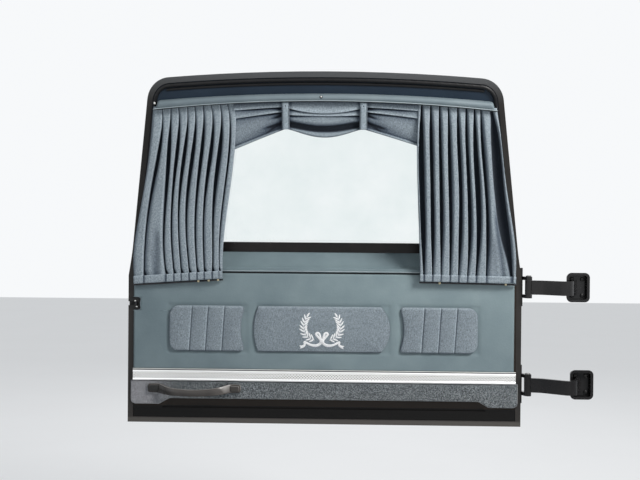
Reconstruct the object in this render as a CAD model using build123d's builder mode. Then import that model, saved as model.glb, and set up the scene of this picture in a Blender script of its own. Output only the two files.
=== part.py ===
from build123d import *
from math import asin, cos, degrees, radians, sin, sqrt, tan
import os

# Rear door of a hearse, swung open on its two gooseneck hinges, with the trim of its inner side.
# Millimetres. X runs along the open door towards its hinges, Y away from the trimmed side, Z up.
# The origin is the middle of the lower hinge's bolt pattern, on the back of its pocket.

# Outline of the door, seen from its trimmed side
DOOR_WIDTH = 1342
BOTTOM_Z = -145
CORNER_Z = 1003
CROWN_RISE = 25
TAPER_Z = 358
TAPER_IN = 102
TAPER_R = 700
TOP_CORNER_R = 80
BOTTOM_CORNER_R = 8
EDGE_TO_MOUNT = 206

# Section of the door, from the hem on the trimmed side to the outer skin
FRONT_Y = -30
SHELL_DEPTH = 80
WAIST_Z = 434
OUTER_WAIST_RISE = 12
LEAN = 16
OUTER_LEAN = 18.5
INNER_BEND_R = 250
OUTER_BEND_R = 330
BOW_R = 6000
SKIN = 5
HEM_WIDTH = 18
HEM_THICK = 4
FRAME_THICK = 20
SEAT = 0.3

# Window, set in from the door's side at its head
WINDOW_PILLAR = 146
WINDOW_SILL_Z = 460
WINDOW_HEAD_Z = 893
WINDOW_CORNER_R = 50
SURROUND_OUT = 8
SURROUND_IN = 15
STRIP_DEPTH = 27
LEDGE_TOP_Z = 441
LEDGE_THICK = 10
LEDGE_ROLL = 15
LEDGE_PROUD = 1

# Trim panel, bright strip and carpet below it
TRIM_THICK = 10
TRIM_TOP_Z = 371
TRIM_LATCH_GAP = 19
TRIM_HINGE_GAP = 24
TRIM_EDGE_R = 4
LEDGE_GAP = 2
SEAL_GAP = 1
SEAL_WIDE = 14
SEAL_PROUD = 5
STRIP_TALL = 36
STRIP_BORDER = 8
STRIP_THICK = 12
STRIP_DISH = 2
STRIP_GAP = 2
STRIP_END_GAP = 19
KICK_TALL = 62
KICK_EAR = 20
KICK_EAR_WIDE = 134
KICK_EAR_SLANT = 36
KICK_CORNER_R = 18
KICK_THICK = 8
KICK_GAP = 0.5
KICK_END_GAP = 10
RECESS_TALL = 33
RECESS_DEEP = 10
RECESS_INSET = 19

# Pads on the trim panel
PAD_Z = 180
PAD_TALL = 155
PAD_THICK = 14
PAD_EDGE_R = 6
CENTRE_PAD_HALF = 207
CENTRE_PAD_BULGE = 25
SIDE_PAD_IN = 264
SIDE_PAD_WIDE = 261
SIDE_PAD_CORNER_R = 34
SIDE_PAD_HORN_R = 10
SIDE_PAD_HOLLOW = 16
SEAM_COUNT = 3
SEAM_WIDE = 4
SEAM_DEEP = 3
SEAM_SLANT = 7

# Head rail and valance, on the leaning part of the frame, bowed down towards their ends
RAIL_Z = 930
RAIL_TALL = 30
RAIL_END_GAP = 26
RAIL_SAG = 25
RAIL_PROUD = 40
RAIL_EDGE_R = 9
VALANCE_BACK = 17
VALANCE_THICK = 12
VALANCE_SIDE_DROP = 90
VALANCE_END_DROP = 142
VALANCE_SAG = 32
TAB_AT = 126
TAB_WIDE = 28
TAB_DROP = 84
TAB_THICK = 7

# Curtains and their rods
CURTAIN_CLOTH = 7
CURTAIN_FOLD = 8
CURTAIN_GAP = 7
ROD_R = 3
CLIP_SIZE = 8
CLIP_INSET = 60
CURTAIN_TOP_GAP = 22
CURTAIN_HEM_GAP = 22
# Columns: node name, side (-1 latch, 1 hinge), inner edge at the top and at the hem,
# height of the hem at its outer and at its inner edge
CURTAINS = (
    ("left", -1, 286, 344, 330, 350),
    ("right", 1, 300, 322, 342, 347),
)
# Columns: width of each pleat at the top and at the hem, from the outer edge inwards
PLEATS = (
    (32, 28),
    (27, 81),
    (26, 27),
    (29, 24),
    (26, 27),
    (26, 27),
    (29, 24),
    (27, 26),
    (30, 30),
    (19, 10),
)

# Pull handle on the carpet strip
HANDLE_IN = 231
HANDLE_LONG = 320
HANDLE_Z = -25
HANDLE_FOOT = 44
HANDLE_TALL = 31
HANDLE_FOOT_THICK = 8
HANDLE_REACH = 30
HANDLE_BAR = 14
HANDLE_BOW = 5
HANDLE_LEG = 30
HANDLE_DIP = 13
HANDLE_WAIST = 24
CAP_THICK = 5
CAP_INSET = 2

# Latch in the free edge
LATCH_Z = 262
LATCH_TALL = 38
LATCH_WIDE = 34
LATCH_PROUD = 4
LATCH_WALL = 3
LATCH_DEEP = 30
LATCH_CLEAR = 2
MOUTH_TALL = 13
MOUTH_DEEP = 20
CLAW_R = 11
CLAW_THICK = 6
CLAW_BRIDGE = 4

# Handle on the outer side
GRIP_IN = 95
BEZEL_WIDE = 150
BEZEL_TALL = 86
BEZEL_RIM = 11
BEZEL_WALL = 2.5
BEZEL_DEEP = 18
BEZEL_CORNER_R = 16
GRIP_LONG = 104
GRIP_TALL = 18
GRIP_THICK = 9
GRIP_POST_R = 6
GRIP_RISE = 9
LOCK_R = 8
LOCK_DROP = 19

# Hinges
# Columns: node name, height, and how far the pocket stands along X from the lower one
HINGES = (
    ("lower", 0, 0),
    ("upper", 330, -15),
)
PIN_OUT = 20
PIN_PROUD = 15
PIN_R = 6
PIN_FIT = 0.05
EYE_R = 12
ARM_TALL = 48
ARM_THICK = 12
ARM_SHOULDER = (-142, -52)
ARM_ELBOW = (-46, -112)
ARM_FOOT_X = -6
SHOULDER_R = 60
ELBOW_R = 26
FOOT_WIDE = 54
FOOT_TALL = 76
FOOT_THICK = 8
BOLT_SPACING_X = 36
BOLT_SPACING_Z = 56
BOLT_HOLE_R = 4.5
POCKET_WALL = 3
POCKET_ROOM = 3
POCKET_DEEP = 30
POCKET_RIM = 9
POCKET_CORNER_R = 8
LUG_GAP = 0.4
LUG_TALL = 12
LEAF_THICK = 4
LEAF_SPAN = 30
LEAF_INSET = 4
LEAF_TALL = 130
LEAF_PACKING = 12
PIN_HEAD_R = 9
PIN_HEAD_TALL = 4

# Places that follow from the sizes above
HALF = DOOR_WIDTH / 2
DOOR_X = -EDGE_TO_MOUNT - HALF
TRIM_MIDDLE = (TRIM_LATCH_GAP - TRIM_HINGE_GAP) / 2
OUTER_Y = FRONT_Y + SHELL_DEPTH
FRAME_Y = FRONT_Y + HEM_THICK
FRAME_BACK_Y = FRAME_Y + FRAME_THICK
TRIM_Y = FRONT_Y - TRIM_THICK
KICK_Y = FRONT_Y - KICK_THICK
STRIP_TOP_Z = STRIP_TALL
TRIM_BOTTOM_Z = STRIP_TOP_Z + STRIP_GAP
LEDGE_Z = TRIM_TOP_Z + LEDGE_GAP
SURROUND_SILL_Z = WINDOW_SILL_Z + SURROUND_IN
STRIP_Y = OUTER_Y - SKIN - STRIP_DEPTH
LATCH_X = -HALF + SKIN + SEAT + LATCH_WIDE / 2
LATCH_Y = FRONT_Y - LATCH_PROUD
HANDLE_X = -HALF + HANDLE_IN
GRIP_X = -HALF + GRIP_IN
BEZEL_HOLE_WIDE = BEZEL_WIDE - 2 * BEZEL_RIM
BEZEL_HOLE_TALL = BEZEL_TALL - 2 * BEZEL_RIM
PIN_X = -EDGE_TO_MOUNT + PIN_OUT
PIN_Y = FRONT_Y - PIN_PROUD
REACH = 4 * SHELL_DEPTH
OVER_Z = CORNER_Z + CROWN_RISE + REACH
UNDER_Z = BOTTOM_Z - REACH
BOW_AXIS = Axis((DOOR_X, OUTER_Y - BOW_R, 0), (0, 0, 1))
BOW_ANGLE = asin(DOOR_WIDTH / BOW_R)
KNEE = HEM_THICK * tan(radians(LEAN) / 2)


def facing(y, x=0, z=0):
    """Sketch plane at depth y that looks at the trimmed side, x measured from the door's middle."""
    return Plane(origin=(DOOR_X + x, y, z), x_dir=(1, 0, 0), z_dir=(0, -1, 0))


def through(x):
    """Sketch plane across the door's thickness, x from the door's middle, drawn in Y and Z."""
    return Plane(origin=(DOOR_X + x, 0, 0), x_dir=(0, 1, 0), z_dir=(1, 0, 0))


def level(z, x=0):
    """Level sketch plane at height z, x measured from the door's middle."""
    return Plane(origin=(DOOR_X + x, 0, z), x_dir=(1, 0, 0), z_dir=(0, 0, 1))


def leaning(proud):
    """Sketch plane on the leaning face of the frame, moved proud of it, y up the slope."""
    base = Plane(
        origin=(DOOR_X, FRAME_Y, WAIST_Z + KNEE),
        x_dir=(1, 0, 0),
        z_dir=(0, -cos(radians(LEAN)), -sin(radians(LEAN))),
    )
    return base.offset(proud)


def outline_half(z):
    """Half of the door's width at height z, on the straight of its tapered side."""
    return HALF - TAPER_IN * (z - TAPER_Z) / (CORNER_Z - TAPER_Z)


RAIL_HALF = outline_half(RAIL_Z) - RAIL_END_GAP
WINDOW_HALF = outline_half(WINDOW_HEAD_Z) - WINDOW_PILLAR


def sloping(x, z, far_x, far_z):
    """Sketch plane along the line between two points of the door, drawn along it and in Y."""
    rise = (far_z - z) / (far_x - x)
    return Plane(origin=(DOOR_X + x, 0, z), x_dir=(1, 0, rise), z_dir=(-rise, 0, 1))


def slope(z):
    """Distance up the leaning face of the frame to the height z."""
    return (z - WAIST_Z - KNEE) / cos(radians(LEAN))


def leaning_y(z, proud):
    """Depth Y of a point at height z that stands proud of the leaning face of the frame."""
    return FRAME_Y - (z - WAIST_Z - KNEE) * tan(radians(LEAN)) - proud / cos(radians(LEAN))


def sag(x):
    """How far the head rail, and all that hangs from it, lies lower at x than at its middle."""
    return RAIL_SAG * (x / RAIL_HALF) ** 2


def bow_plane():
    """Section plane at the hinge end of the bow; its x is the depth Y at the door's middle."""
    out = Vector(sin(BOW_ANGLE), cos(BOW_ANGLE), 0)
    middle = BOW_AXIS.position + out * (BOW_R - OUTER_Y)
    return Plane(origin=middle, x_dir=out, z_dir=(cos(BOW_ANGLE), -sin(BOW_ANGLE), 0))


def bent_line(y, waist_z, lean, radius):
    """Section line of a bent wall: upright below the waist, leaning forward above it."""
    top = Vector(y, waist_z) + Vector(-tan(radians(lean)), 1) * (OVER_Z - waist_z)
    return FilletPolyline((y, UNDER_Z), (y, waist_z), (top.X, top.Y), radius=radius)


def inner_line(depth):
    """Section line that runs depth behind the hem's face."""
    knee = depth * tan(radians(LEAN) / 2)
    return bent_line(FRONT_Y + depth, WAIST_Z + knee, LEAN, INNER_BEND_R + depth)


def outer_line(depth):
    """Section line that runs depth inside the outer skin's surface."""
    knee = OUTER_WAIST_RISE - depth * tan(radians(OUTER_LEAN) / 2)
    return bent_line(OUTER_Y - depth, WAIST_Z + knee, OUTER_LEAN, OUTER_BEND_R - depth)


def side_of(line_at, depth, far_y):
    """Section of all that lies between a bent line and an upright line at far_y."""
    with BuildSketch() as section:
        with BuildLine():
            bent = line_at(depth)
            Polyline(bent @ 0, (far_y, UNDER_Z), (far_y, OVER_Z), bent @ 1)
        make_face()
    return section.sketch


def inner_band(near, far):
    """Section of a sheet that follows the hem's face, from near to far behind it."""
    with BuildSketch() as section:
        with BuildLine():
            front = inner_line(near)
            back = inner_line(far)
            Line(front @ 0, back @ 0)
            Line(front @ 1, back @ 1)
        make_face()
    return section.sketch


def door_outline(inset):
    """Outline of the door seen from its trimmed side, drawn in by inset."""
    top_half = HALF - TAPER_IN
    with BuildSketch() as outline:
        with BuildLine():
            sides = Polyline(
                (-top_half, CORNER_Z),
                (-HALF, TAPER_Z),
                (-HALF, BOTTOM_Z),
                (HALF, BOTTOM_Z),
                (HALF, TAPER_Z),
                (top_half, CORNER_Z),
            )
            ThreePointArc(sides @ 0, (0, CORNER_Z + CROWN_RISE), sides @ 1)
        make_face()
        rows = outline.vertices().group_by(Axis.Y)
        fillet(rows[2], radius=TOP_CORNER_R)
        fillet(rows[1], radius=TAPER_R)
        fillet(rows[0], radius=BOTTOM_CORNER_R)
        if inset:
            offset(amount=-inset)
    return outline.sketch


def window_outline(out):
    """Outline of the window in the outer skin, drawn out by out."""
    tall = WINDOW_HEAD_Z - WINDOW_SILL_Z + 2 * out
    with BuildSketch() as outline:
        with Locations((0, (WINDOW_HEAD_Z + WINDOW_SILL_Z) / 2)):
            RectangleRounded(2 * (WINDOW_HALF + out), tall, WINDOW_CORNER_R + out)
    return outline.sketch


def frame_opening(inset):
    """Opening of the inner frame, from the ledge's seat to above the window."""
    half = WINDOW_HALF + SURROUND_OUT - inset
    top = WINDOW_HEAD_Z + SURROUND_OUT - inset
    with BuildSketch() as opening:
        with Locations((0, LEDGE_Z + inset)):
            Rectangle(2 * half, top - LEDGE_Z - inset, align=(Align.CENTER, Align.MIN))
        fillet(opening.vertices().group_by(Axis.Y)[-1], radius=WINDOW_CORNER_R)
    return opening.sketch


def door_block(outline, near, far):
    """Solid inside an outline, from near behind the hem's face to far inside the outer skin."""
    with BuildPart() as block:
        with BuildSketch(bow_plane()):
            add(side_of(outer_line, far, FRONT_Y - REACH))
        revolve(axis=BOW_AXIS, revolution_arc=degrees(2 * BOW_ANGLE))
        with BuildSketch(through(0)):
            add(side_of(inner_line, near, OUTER_Y + REACH))
        extrude(amount=DOOR_WIDTH, both=True, mode=Mode.INTERSECT)
        with BuildSketch(facing(OUTER_Y + REACH)):
            add(outline)
        extrude(amount=3 * REACH, mode=Mode.INTERSECT)
    return block.part


def outer_face(x, z):
    """Sketch plane that touches the upright part of the outer skin at x from the door's middle."""
    out = Vector(x, sqrt(BOW_R**2 - x**2), 0) / BOW_R
    foot = BOW_AXIS.position + out * BOW_R + Vector(0, 0, z)
    return Plane(origin=foot, x_dir=(-out.Y, out.X, 0), z_dir=out)


parts = {}


def finish(name, builder):
    """Label a finished piece and keep it for the export."""
    builder.part.label = name
    parts[name] = builder.part


# Outer shell: the painted skin with its side walls and the hem turned in round the trimmed side
with BuildPart() as outer_shell:
    add(door_block(door_outline(0), 0, 0))
    add(door_block(door_outline(SKIN), HEM_THICK, SKIN), mode=Mode.SUBTRACT)
    add(door_block(door_outline(HEM_WIDTH), -HEM_THICK, SKIN), mode=Mode.SUBTRACT)
    with BuildSketch(facing(OUTER_Y + REACH)):
        add(window_outline(0))
    extrude(amount=3 * REACH, mode=Mode.SUBTRACT)
    # The latch stands in the hem, and its mouth is open to the edge
    with BuildSketch(facing(FRAME_Y)):
        with Locations((LATCH_X, LATCH_Z)):
            Rectangle(LATCH_WIDE + 2 * SEAT, LATCH_TALL + 2 * SEAT)
    extrude(amount=REACH, mode=Mode.SUBTRACT)
    with BuildSketch(facing(LATCH_Y + MOUTH_DEEP)):
        with Locations((-HALF, LATCH_Z)):
            Rectangle(2 * SKIN + 2 * SEAT, MOUTH_TALL)
    extrude(amount=REACH, mode=Mode.SUBTRACT)
    # Hole for the dish of the outer handle
    with BuildSketch(outer_face(GRIP_X, LATCH_Z)):
        RectangleRounded(BEZEL_HOLE_WIDE, BEZEL_HOLE_TALL, BEZEL_CORNER_R - BEZEL_RIM / 2)
    extrude(amount=2 * SKIN, both=True, mode=Mode.SUBTRACT)
finish("outer_shell", outer_shell)

# Inner frame: the panel bonded behind the hem, with the window opening and the latch pocket
with BuildPart() as inner_frame:
    with BuildSketch(through(0)):
        add(inner_band(HEM_THICK, HEM_THICK + FRAME_THICK))
    extrude(amount=HALF, both=True)
    # Raised to the hem's face behind the trim panel and the carpet
    with BuildSketch(facing(FRONT_Y)):
        add(door_outline(HEM_WIDTH + SEAT))
        with Locations((0, -KICK_TALL)):
            Rectangle(
                DOOR_WIDTH,
                TRIM_TOP_Z + KICK_TALL,
                align=(Align.CENTER, Align.MIN),
                mode=Mode.INTERSECT,
            )
    extrude(amount=-2 * HEM_THICK)
    with BuildSketch(facing(OUTER_Y)):
        add(door_outline(SKIN + SEAT))
    extrude(amount=3 * REACH, mode=Mode.INTERSECT)
    with BuildSketch(facing(OUTER_Y)):
        add(frame_opening(0))
        with Locations((LATCH_X, LATCH_Z)):
            Rectangle(LATCH_WIDE + 2 * SEAT, LATCH_TALL + 2 * SEAT)
    extrude(amount=3 * REACH, mode=Mode.SUBTRACT)
    # Shallow recess with slanted ends below the carpet
    with BuildSketch(facing(FRAME_Y + RECESS_DEEP)):
        with BuildLine():
            top = HALF - KICK_EAR_WIDE - RECESS_INSET
            Polyline(
                (-top, -KICK_TALL),
                (-top - KICK_EAR_SLANT, -KICK_TALL - RECESS_TALL),
                (top + KICK_EAR_SLANT, -KICK_TALL - RECESS_TALL),
                (top, -KICK_TALL),
                close=True,
            )
        make_face()
    extrude(amount=2 * RECESS_DEEP, mode=Mode.SUBTRACT)
finish("inner_frame", inner_frame)

# Window glass: flush in the outer skin, on the same bow
with BuildPart() as window_glass:
    add(door_block(window_outline(-SEAT), HEM_THICK, 0))
    add(door_block(window_outline(SKIN), -HEM_THICK, SKIN), mode=Mode.SUBTRACT)
finish("window_glass", window_glass)

# Window surround: the black reveal between the frame's opening and the glass
with BuildPart() as window_surround:
    add(door_block(frame_opening(SEAT), HEM_THICK, SKIN + SEAT))
    with BuildSketch(facing(OUTER_Y + REACH)):
        add(window_outline(-SURROUND_IN))
    extrude(amount=3 * REACH, mode=Mode.SUBTRACT)
    # The ledge lies in front of its lower part
    with BuildSketch(facing(STRIP_Y)):
        with Locations((0, LEDGE_Z)):
            Rectangle(DOOR_WIDTH, 2 * (SURROUND_SILL_Z - LEDGE_Z))
    extrude(amount=REACH, mode=Mode.SUBTRACT)
finish("window_surround", window_surround)

# Window ledge: the padded sill that slopes down from the black strip to a rolled front edge
ledge_front = TRIM_Y - LEDGE_PROUD
with BuildPart() as window_ledge:
    with BuildSketch(through(0)):
        with BuildLine():
            roll = ThreePointArc(
                (ledge_front + LEDGE_ROLL / 3, LEDGE_Z),
                (ledge_front, LEDGE_Z + LEDGE_ROLL / 2),
                (ledge_front + LEDGE_ROLL / 3, LEDGE_Z + LEDGE_ROLL),
            )
            Polyline(
                roll @ 1,
                (STRIP_Y, LEDGE_TOP_Z),
                (STRIP_Y, LEDGE_TOP_Z - LEDGE_THICK),
                (FRAME_BACK_Y, LEDGE_Z),
                roll @ 0,
            )
        make_face()
    extrude(amount=WINDOW_HALF + SURROUND_OUT - SEAT, both=True)
finish("window_ledge", window_ledge)

# Weather seal: the rubber section in the gap inside the hem, above the trim panel
with BuildPart() as weather_seal:
    with BuildSketch(through(0)):
        add(inner_band(-SEAL_PROUD, HEM_THICK))
    extrude(amount=HALF, both=True)
    with BuildSketch(facing(OUTER_Y)):
        add(door_outline(HEM_WIDTH + SEAL_GAP))
        add(door_outline(HEM_WIDTH + SEAL_GAP + SEAL_WIDE), mode=Mode.SUBTRACT)
        with Locations((0, TRIM_TOP_Z + SEAL_GAP)):
            Rectangle(
                DOOR_WIDTH, 2 * REACH, align=(Align.CENTER, Align.MAX), mode=Mode.SUBTRACT
            )
    extrude(amount=3 * REACH, mode=Mode.INTERSECT)
finish("weather_seal", weather_seal)

# Trim panel: the padded board below the window, notched for the latch
panel_left = -HALF + TRIM_LATCH_GAP
panel_right = HALF - TRIM_HINGE_GAP
with BuildPart() as trim_panel:
    with BuildSketch(facing(FRONT_Y)):
        with BuildLine():
            Polyline(
                (panel_left, TRIM_BOTTOM_Z),
                (panel_right, TRIM_BOTTOM_Z),
                (panel_right, TRIM_TOP_Z),
                (panel_left, TRIM_TOP_Z),
                close=True,
            )
        make_face()
    extrude(amount=TRIM_THICK)
    fillet(trim_panel.faces().sort_by(Axis.Y)[0].edges(), radius=TRIM_EDGE_R)
    with BuildSketch(facing(OUTER_Y)):
        with Locations((LATCH_X, LATCH_Z)):
            Rectangle(LATCH_WIDE + 2 * LATCH_CLEAR, LATCH_TALL + 2 * LATCH_CLEAR)
    extrude(amount=REACH, mode=Mode.SUBTRACT)
finish("trim_panel", trim_panel)

# Centre pad: a band with bulging ends
pad_low = PAD_Z - PAD_TALL / 2
pad_high = PAD_Z + PAD_TALL / 2
with BuildPart() as centre_pad:
    with BuildSketch(facing(TRIM_Y, TRIM_MIDDLE)):
        with BuildLine():
            end = CENTRE_PAD_HALF + CENTRE_PAD_BULGE
            Line((-CENTRE_PAD_HALF, pad_low), (CENTRE_PAD_HALF, pad_low))
            ThreePointArc((CENTRE_PAD_HALF, pad_low), (end, PAD_Z), (CENTRE_PAD_HALF, pad_high))
            Line((CENTRE_PAD_HALF, pad_high), (-CENTRE_PAD_HALF, pad_high))
            ThreePointArc((-CENTRE_PAD_HALF, pad_high), (-end, PAD_Z), (-CENTRE_PAD_HALF, pad_low))
        make_face()
    extrude(amount=PAD_THICK)
    fillet(centre_pad.faces().sort_by(Axis.Y)[0].edges(), radius=PAD_EDGE_R)
finish("centre_pad", centre_pad)

# Side pads: rounded corners, a hollow inner end, and slanted seams between their channels
for side, name in ((-1, "left"), (1, "right")):
    near = side * SIDE_PAD_IN
    far = side * (SIDE_PAD_IN + SIDE_PAD_WIDE)
    with BuildPart() as side_pad:
        with BuildSketch(facing(TRIM_Y, TRIM_MIDDLE)) as pad_face:
            with BuildLine():
                Polyline((near, pad_low), (far, pad_low), (far, pad_high), (near, pad_high))
                ThreePointArc(
                    (near, pad_high), (near + side * SIDE_PAD_HOLLOW, PAD_Z), (near, pad_low)
                )
            make_face()
            ends = pad_face.vertices().group_by(Axis.X)
            fillet(ends[-1 if side < 0 else 0], radius=SIDE_PAD_HORN_R)
            fillet(ends[0 if side < 0 else -1], radius=SIDE_PAD_CORNER_R)
        extrude(amount=PAD_THICK)
        fillet(side_pad.faces().sort_by(Axis.Y)[0].edges(), radius=PAD_EDGE_R)
        with BuildSketch(facing(TRIM_Y - PAD_THICK, TRIM_MIDDLE)):
            for seam in range(SEAM_COUNT):
                x = near + side * SIDE_PAD_WIDE * (seam + 1) / (SEAM_COUNT + 1)
                with BuildLine():
                    Polyline(
                        (x + SEAM_SLANT / 2, pad_low),
                        (x + SEAM_SLANT / 2 + SEAM_WIDE, pad_low),
                        (x - SEAM_SLANT / 2 + SEAM_WIDE, pad_high),
                        (x - SEAM_SLANT / 2, pad_high),
                        close=True,
                    )
                make_face()
        extrude(amount=-SEAM_DEEP, mode=Mode.SUBTRACT)
    finish(f"side_pad_{name}", side_pad)

# Bright strip: a rolled moulding with two round borders and a sunk band for the knurl
with BuildPart() as bright_strip:
    with BuildSketch(through(0)):
        with Locations((FRONT_Y, 0)):
            Rectangle(
                STRIP_THICK - STRIP_DISH, STRIP_TALL, align=(Align.MAX, Align.MIN)
            )
        for z in (STRIP_BORDER / 2, STRIP_TALL - STRIP_BORDER / 2):
            with Locations((FRONT_Y - STRIP_THICK + STRIP_DISH, z)):
                SlotOverall(STRIP_BORDER, 2 * STRIP_DISH, rotation=90)
    extrude(amount=HALF - STRIP_END_GAP, both=True)
finish("bright_strip", bright_strip)

# Kick strip: the carpet below the bright strip, with an ear at each end
with BuildPart() as kick_strip:
    with BuildSketch(facing(FRONT_Y)) as carpet:
        with BuildLine():
            half = HALF - KICK_END_GAP
            ear = half - KICK_EAR_WIDE
            ear_low = -KICK_TALL - KICK_EAR
            Polyline(
                (-half, -KICK_GAP),
                (-half, ear_low),
                (-ear - KICK_EAR_SLANT, ear_low),
                (-ear, -KICK_TALL),
                (ear, -KICK_TALL),
                (ear + KICK_EAR_SLANT, ear_low),
                (half, ear_low),
                (half, -KICK_GAP),
                close=True,
            )
        make_face()
        low_row = carpet.vertices().group_by(Axis.Y)[0].sort_by(Axis.X)
        fillet([low_row[0], low_row[-1]], radius=KICK_CORNER_R)
    extrude(amount=KICK_THICK)
finish("kick_strip", kick_strip)

# Pull handle: a bowed bar on two feet that dips in the middle
with BuildPart() as pull_handle:
    half = HANDLE_LONG / 2
    foot = half - HANDLE_FOOT
    bar = foot - HANDLE_LEG
    inner = KICK_Y - HANDLE_REACH
    with BuildSketch(level(HANDLE_Z - HANDLE_TALL - HANDLE_DIP, HANDLE_X)):
        with BuildLine():
            Polyline(
                (-bar, inner - HANDLE_BAR),
                (-foot, KICK_Y - HANDLE_FOOT_THICK),
                (-half, KICK_Y - HANDLE_FOOT_THICK),
                (-half, KICK_Y),
                (-foot + HANDLE_FOOT_THICK, KICK_Y),
                (-bar + HANDLE_FOOT_THICK, inner),
            )
            ThreePointArc(
                (-bar + HANDLE_FOOT_THICK, inner),
                (0, inner - HANDLE_BOW),
                (bar - HANDLE_FOOT_THICK, inner),
            )
            Polyline(
                (bar - HANDLE_FOOT_THICK, inner),
                (foot - HANDLE_FOOT_THICK, KICK_Y),
                (half, KICK_Y),
                (half, KICK_Y - HANDLE_FOOT_THICK),
                (foot, KICK_Y - HANDLE_FOOT_THICK),
                (bar, inner - HANDLE_BAR),
            )
            ThreePointArc(
                (bar, inner - HANDLE_BAR),
                (0, inner - HANDLE_BAR - HANDLE_BOW),
                (-bar, inner - HANDLE_BAR),
            )
        make_face()
    extrude(amount=2 * (HANDLE_TALL + HANDLE_DIP))
    with BuildSketch(facing(KICK_Y, HANDLE_X, HANDLE_Z)):
        with BuildLine():
            foot_top, foot_low = HANDLE_TALL / 2, -HANDLE_TALL / 2
            grip_low = foot_low - HANDLE_DIP
            grip_top = grip_low + HANDLE_WAIST
            Polyline((-foot, foot_top), (-half, foot_top), (-half, foot_low), (-foot, foot_low))
            ThreePointArc((-foot, foot_low), (0, grip_low), (foot, foot_low))
            Polyline((foot, foot_low), (half, foot_low), (half, foot_top), (foot, foot_top))
            ThreePointArc((foot, foot_top), (0, grip_top), (-foot, foot_top))
        make_face()
    extrude(amount=REACH, mode=Mode.INTERSECT)
finish("pull_handle", pull_handle)

# Screw caps over the feet of the pull handle
for side, name in ((-1, "left"), (1, "right")):
    with BuildPart() as handle_cap:
        with BuildSketch(facing(KICK_Y - HANDLE_FOOT_THICK)):
            with Locations((HANDLE_X + side * (half - HANDLE_FOOT / 2), HANDLE_Z)):
                RectangleRounded(
                    HANDLE_FOOT - 2 * CAP_INSET, HANDLE_TALL - 2 * CAP_INSET, CAP_THICK
                )
        extrude(amount=CAP_THICK)
        fillet(handle_cap.faces().sort_by(Axis.Y)[0].edges(), radius=CAP_THICK / 2)
    finish(f"handle_cap_{name}", handle_cap)

# Head rail: the padded bar across the top, bowed like the door, and cut out behind its ends for
# the seal
rail_low = slope(RAIL_Z)
rail_radius = (RAIL_HALF**2 + RAIL_SAG**2) / (2 * RAIL_SAG)
rail_turn = asin(RAIL_HALF / rail_radius)
rail_base = leaning(0)
rail_centre = rail_base.from_local_coords(Vector(0, rail_low - rail_radius))
rail_out = rail_base.x_dir * sin(rail_turn) + rail_base.y_dir * cos(rail_turn)
rail_end = Plane(
    origin=rail_centre + rail_out * rail_radius,
    x_dir=rail_out,
    z_dir=rail_out.cross(rail_base.z_dir),
)
rail_clear = (
    outline_half(RAIL_Z + RAIL_TALL) - HEM_WIDTH - SEAL_GAP - SEAL_WIDE - 2 * SEAT
)
with BuildPart() as head_rail:
    with BuildSketch(rail_end) as rail_section:
        Rectangle(RAIL_TALL, RAIL_PROUD, align=(Align.MIN, Align.MIN))
        fillet(rail_section.vertices().group_by(Axis.Y)[-1], radius=RAIL_EDGE_R)
    revolve(axis=Axis(rail_centre, rail_base.z_dir), revolution_arc=degrees(2 * rail_turn))
    with BuildSketch(rail_base):
        with Locations((-rail_clear - RAIL_TALL, rail_low), (rail_clear + RAIL_TALL, rail_low)):
            Rectangle(2 * RAIL_TALL, 4 * RAIL_TALL)
    extrude(amount=HEM_THICK + SEAL_PROUD + SEAT, mode=Mode.SUBTRACT)
finish("head_rail", head_rail)


def hang_line(near, far):
    """Top edge of a piece that hangs from the head rail, from near to far of the middle."""
    middle = (near + far) / 2
    return ThreePointArc(*((x, rail_low - sag(x)) for x in (near, middle, far)))


# Valance: a swag between two tabs, and a straight piece from each tab to its curtain
swag_low = rail_low - VALANCE_SIDE_DROP
with BuildPart() as valance_centre:
    with BuildSketch(leaning(VALANCE_BACK)):
        with BuildLine():
            edge = TAB_AT - SEAT / 2
            top = hang_line(-edge, edge)
            Line(top @ 0, (-edge, swag_low))
            Line(top @ 1, (edge, swag_low))
            ThreePointArc((edge, swag_low), (0, swag_low - VALANCE_SAG), (-edge, swag_low))
        make_face()
    extrude(amount=VALANCE_THICK)
finish("valance_centre", valance_centre)

for name, side, top_in, hem_in, hem_out_z, hem_in_z in CURTAINS:
    with BuildPart() as valance_side:
        with BuildSketch(leaning(VALANCE_BACK)):
            with BuildLine():
                top = hang_line(side * (TAB_AT + SEAT / 2), side * (top_in - 2 * SEAT))
                end = top @ 1
                Polyline(top @ 0, ((top @ 0).X, swag_low), (end.X, end.Y - VALANCE_END_DROP), end)
            make_face()
        extrude(amount=VALANCE_THICK)
    finish(f"valance_{name}", valance_side)

    with BuildPart() as valance_tab:
        with BuildSketch(leaning(VALANCE_BACK + VALANCE_THICK)):
            with BuildLine():
                near = side * (TAB_AT - TAB_WIDE / 2)
                far = side * (TAB_AT + TAB_WIDE / 2)
                top = hang_line(near, far)
                low = rail_low - TAB_DROP
                Polyline(top @ 0, (near, low), (far, low), top @ 1)
            make_face()
        extrude(amount=TAB_THICK)
    finish(f"valance_tab_{name}", valance_tab)


def pleat_row(edge, inner, widths, back_y):
    """Level section of a gathered curtain: an arc for each pleat in front, straight behind."""
    stops = [edge]
    for width in widths:
        stops.append(stops[-1] + (inner - edge) * width / sum(widths))
    front_y = back_y - CURTAIN_CLOTH
    with BuildSketch() as row:
        with BuildLine():
            for start, stop in zip(stops, stops[1:]):
                rise = min(CURTAIN_FOLD, 0.4 * abs(stop - start))
                ThreePointArc((start, front_y), ((start + stop) / 2, front_y - rise), (stop, front_y))
            Polyline((stops[-1], front_y), (inner, back_y), (edge, back_y), (edge, front_y))
        make_face()
    return row.sketch


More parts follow.
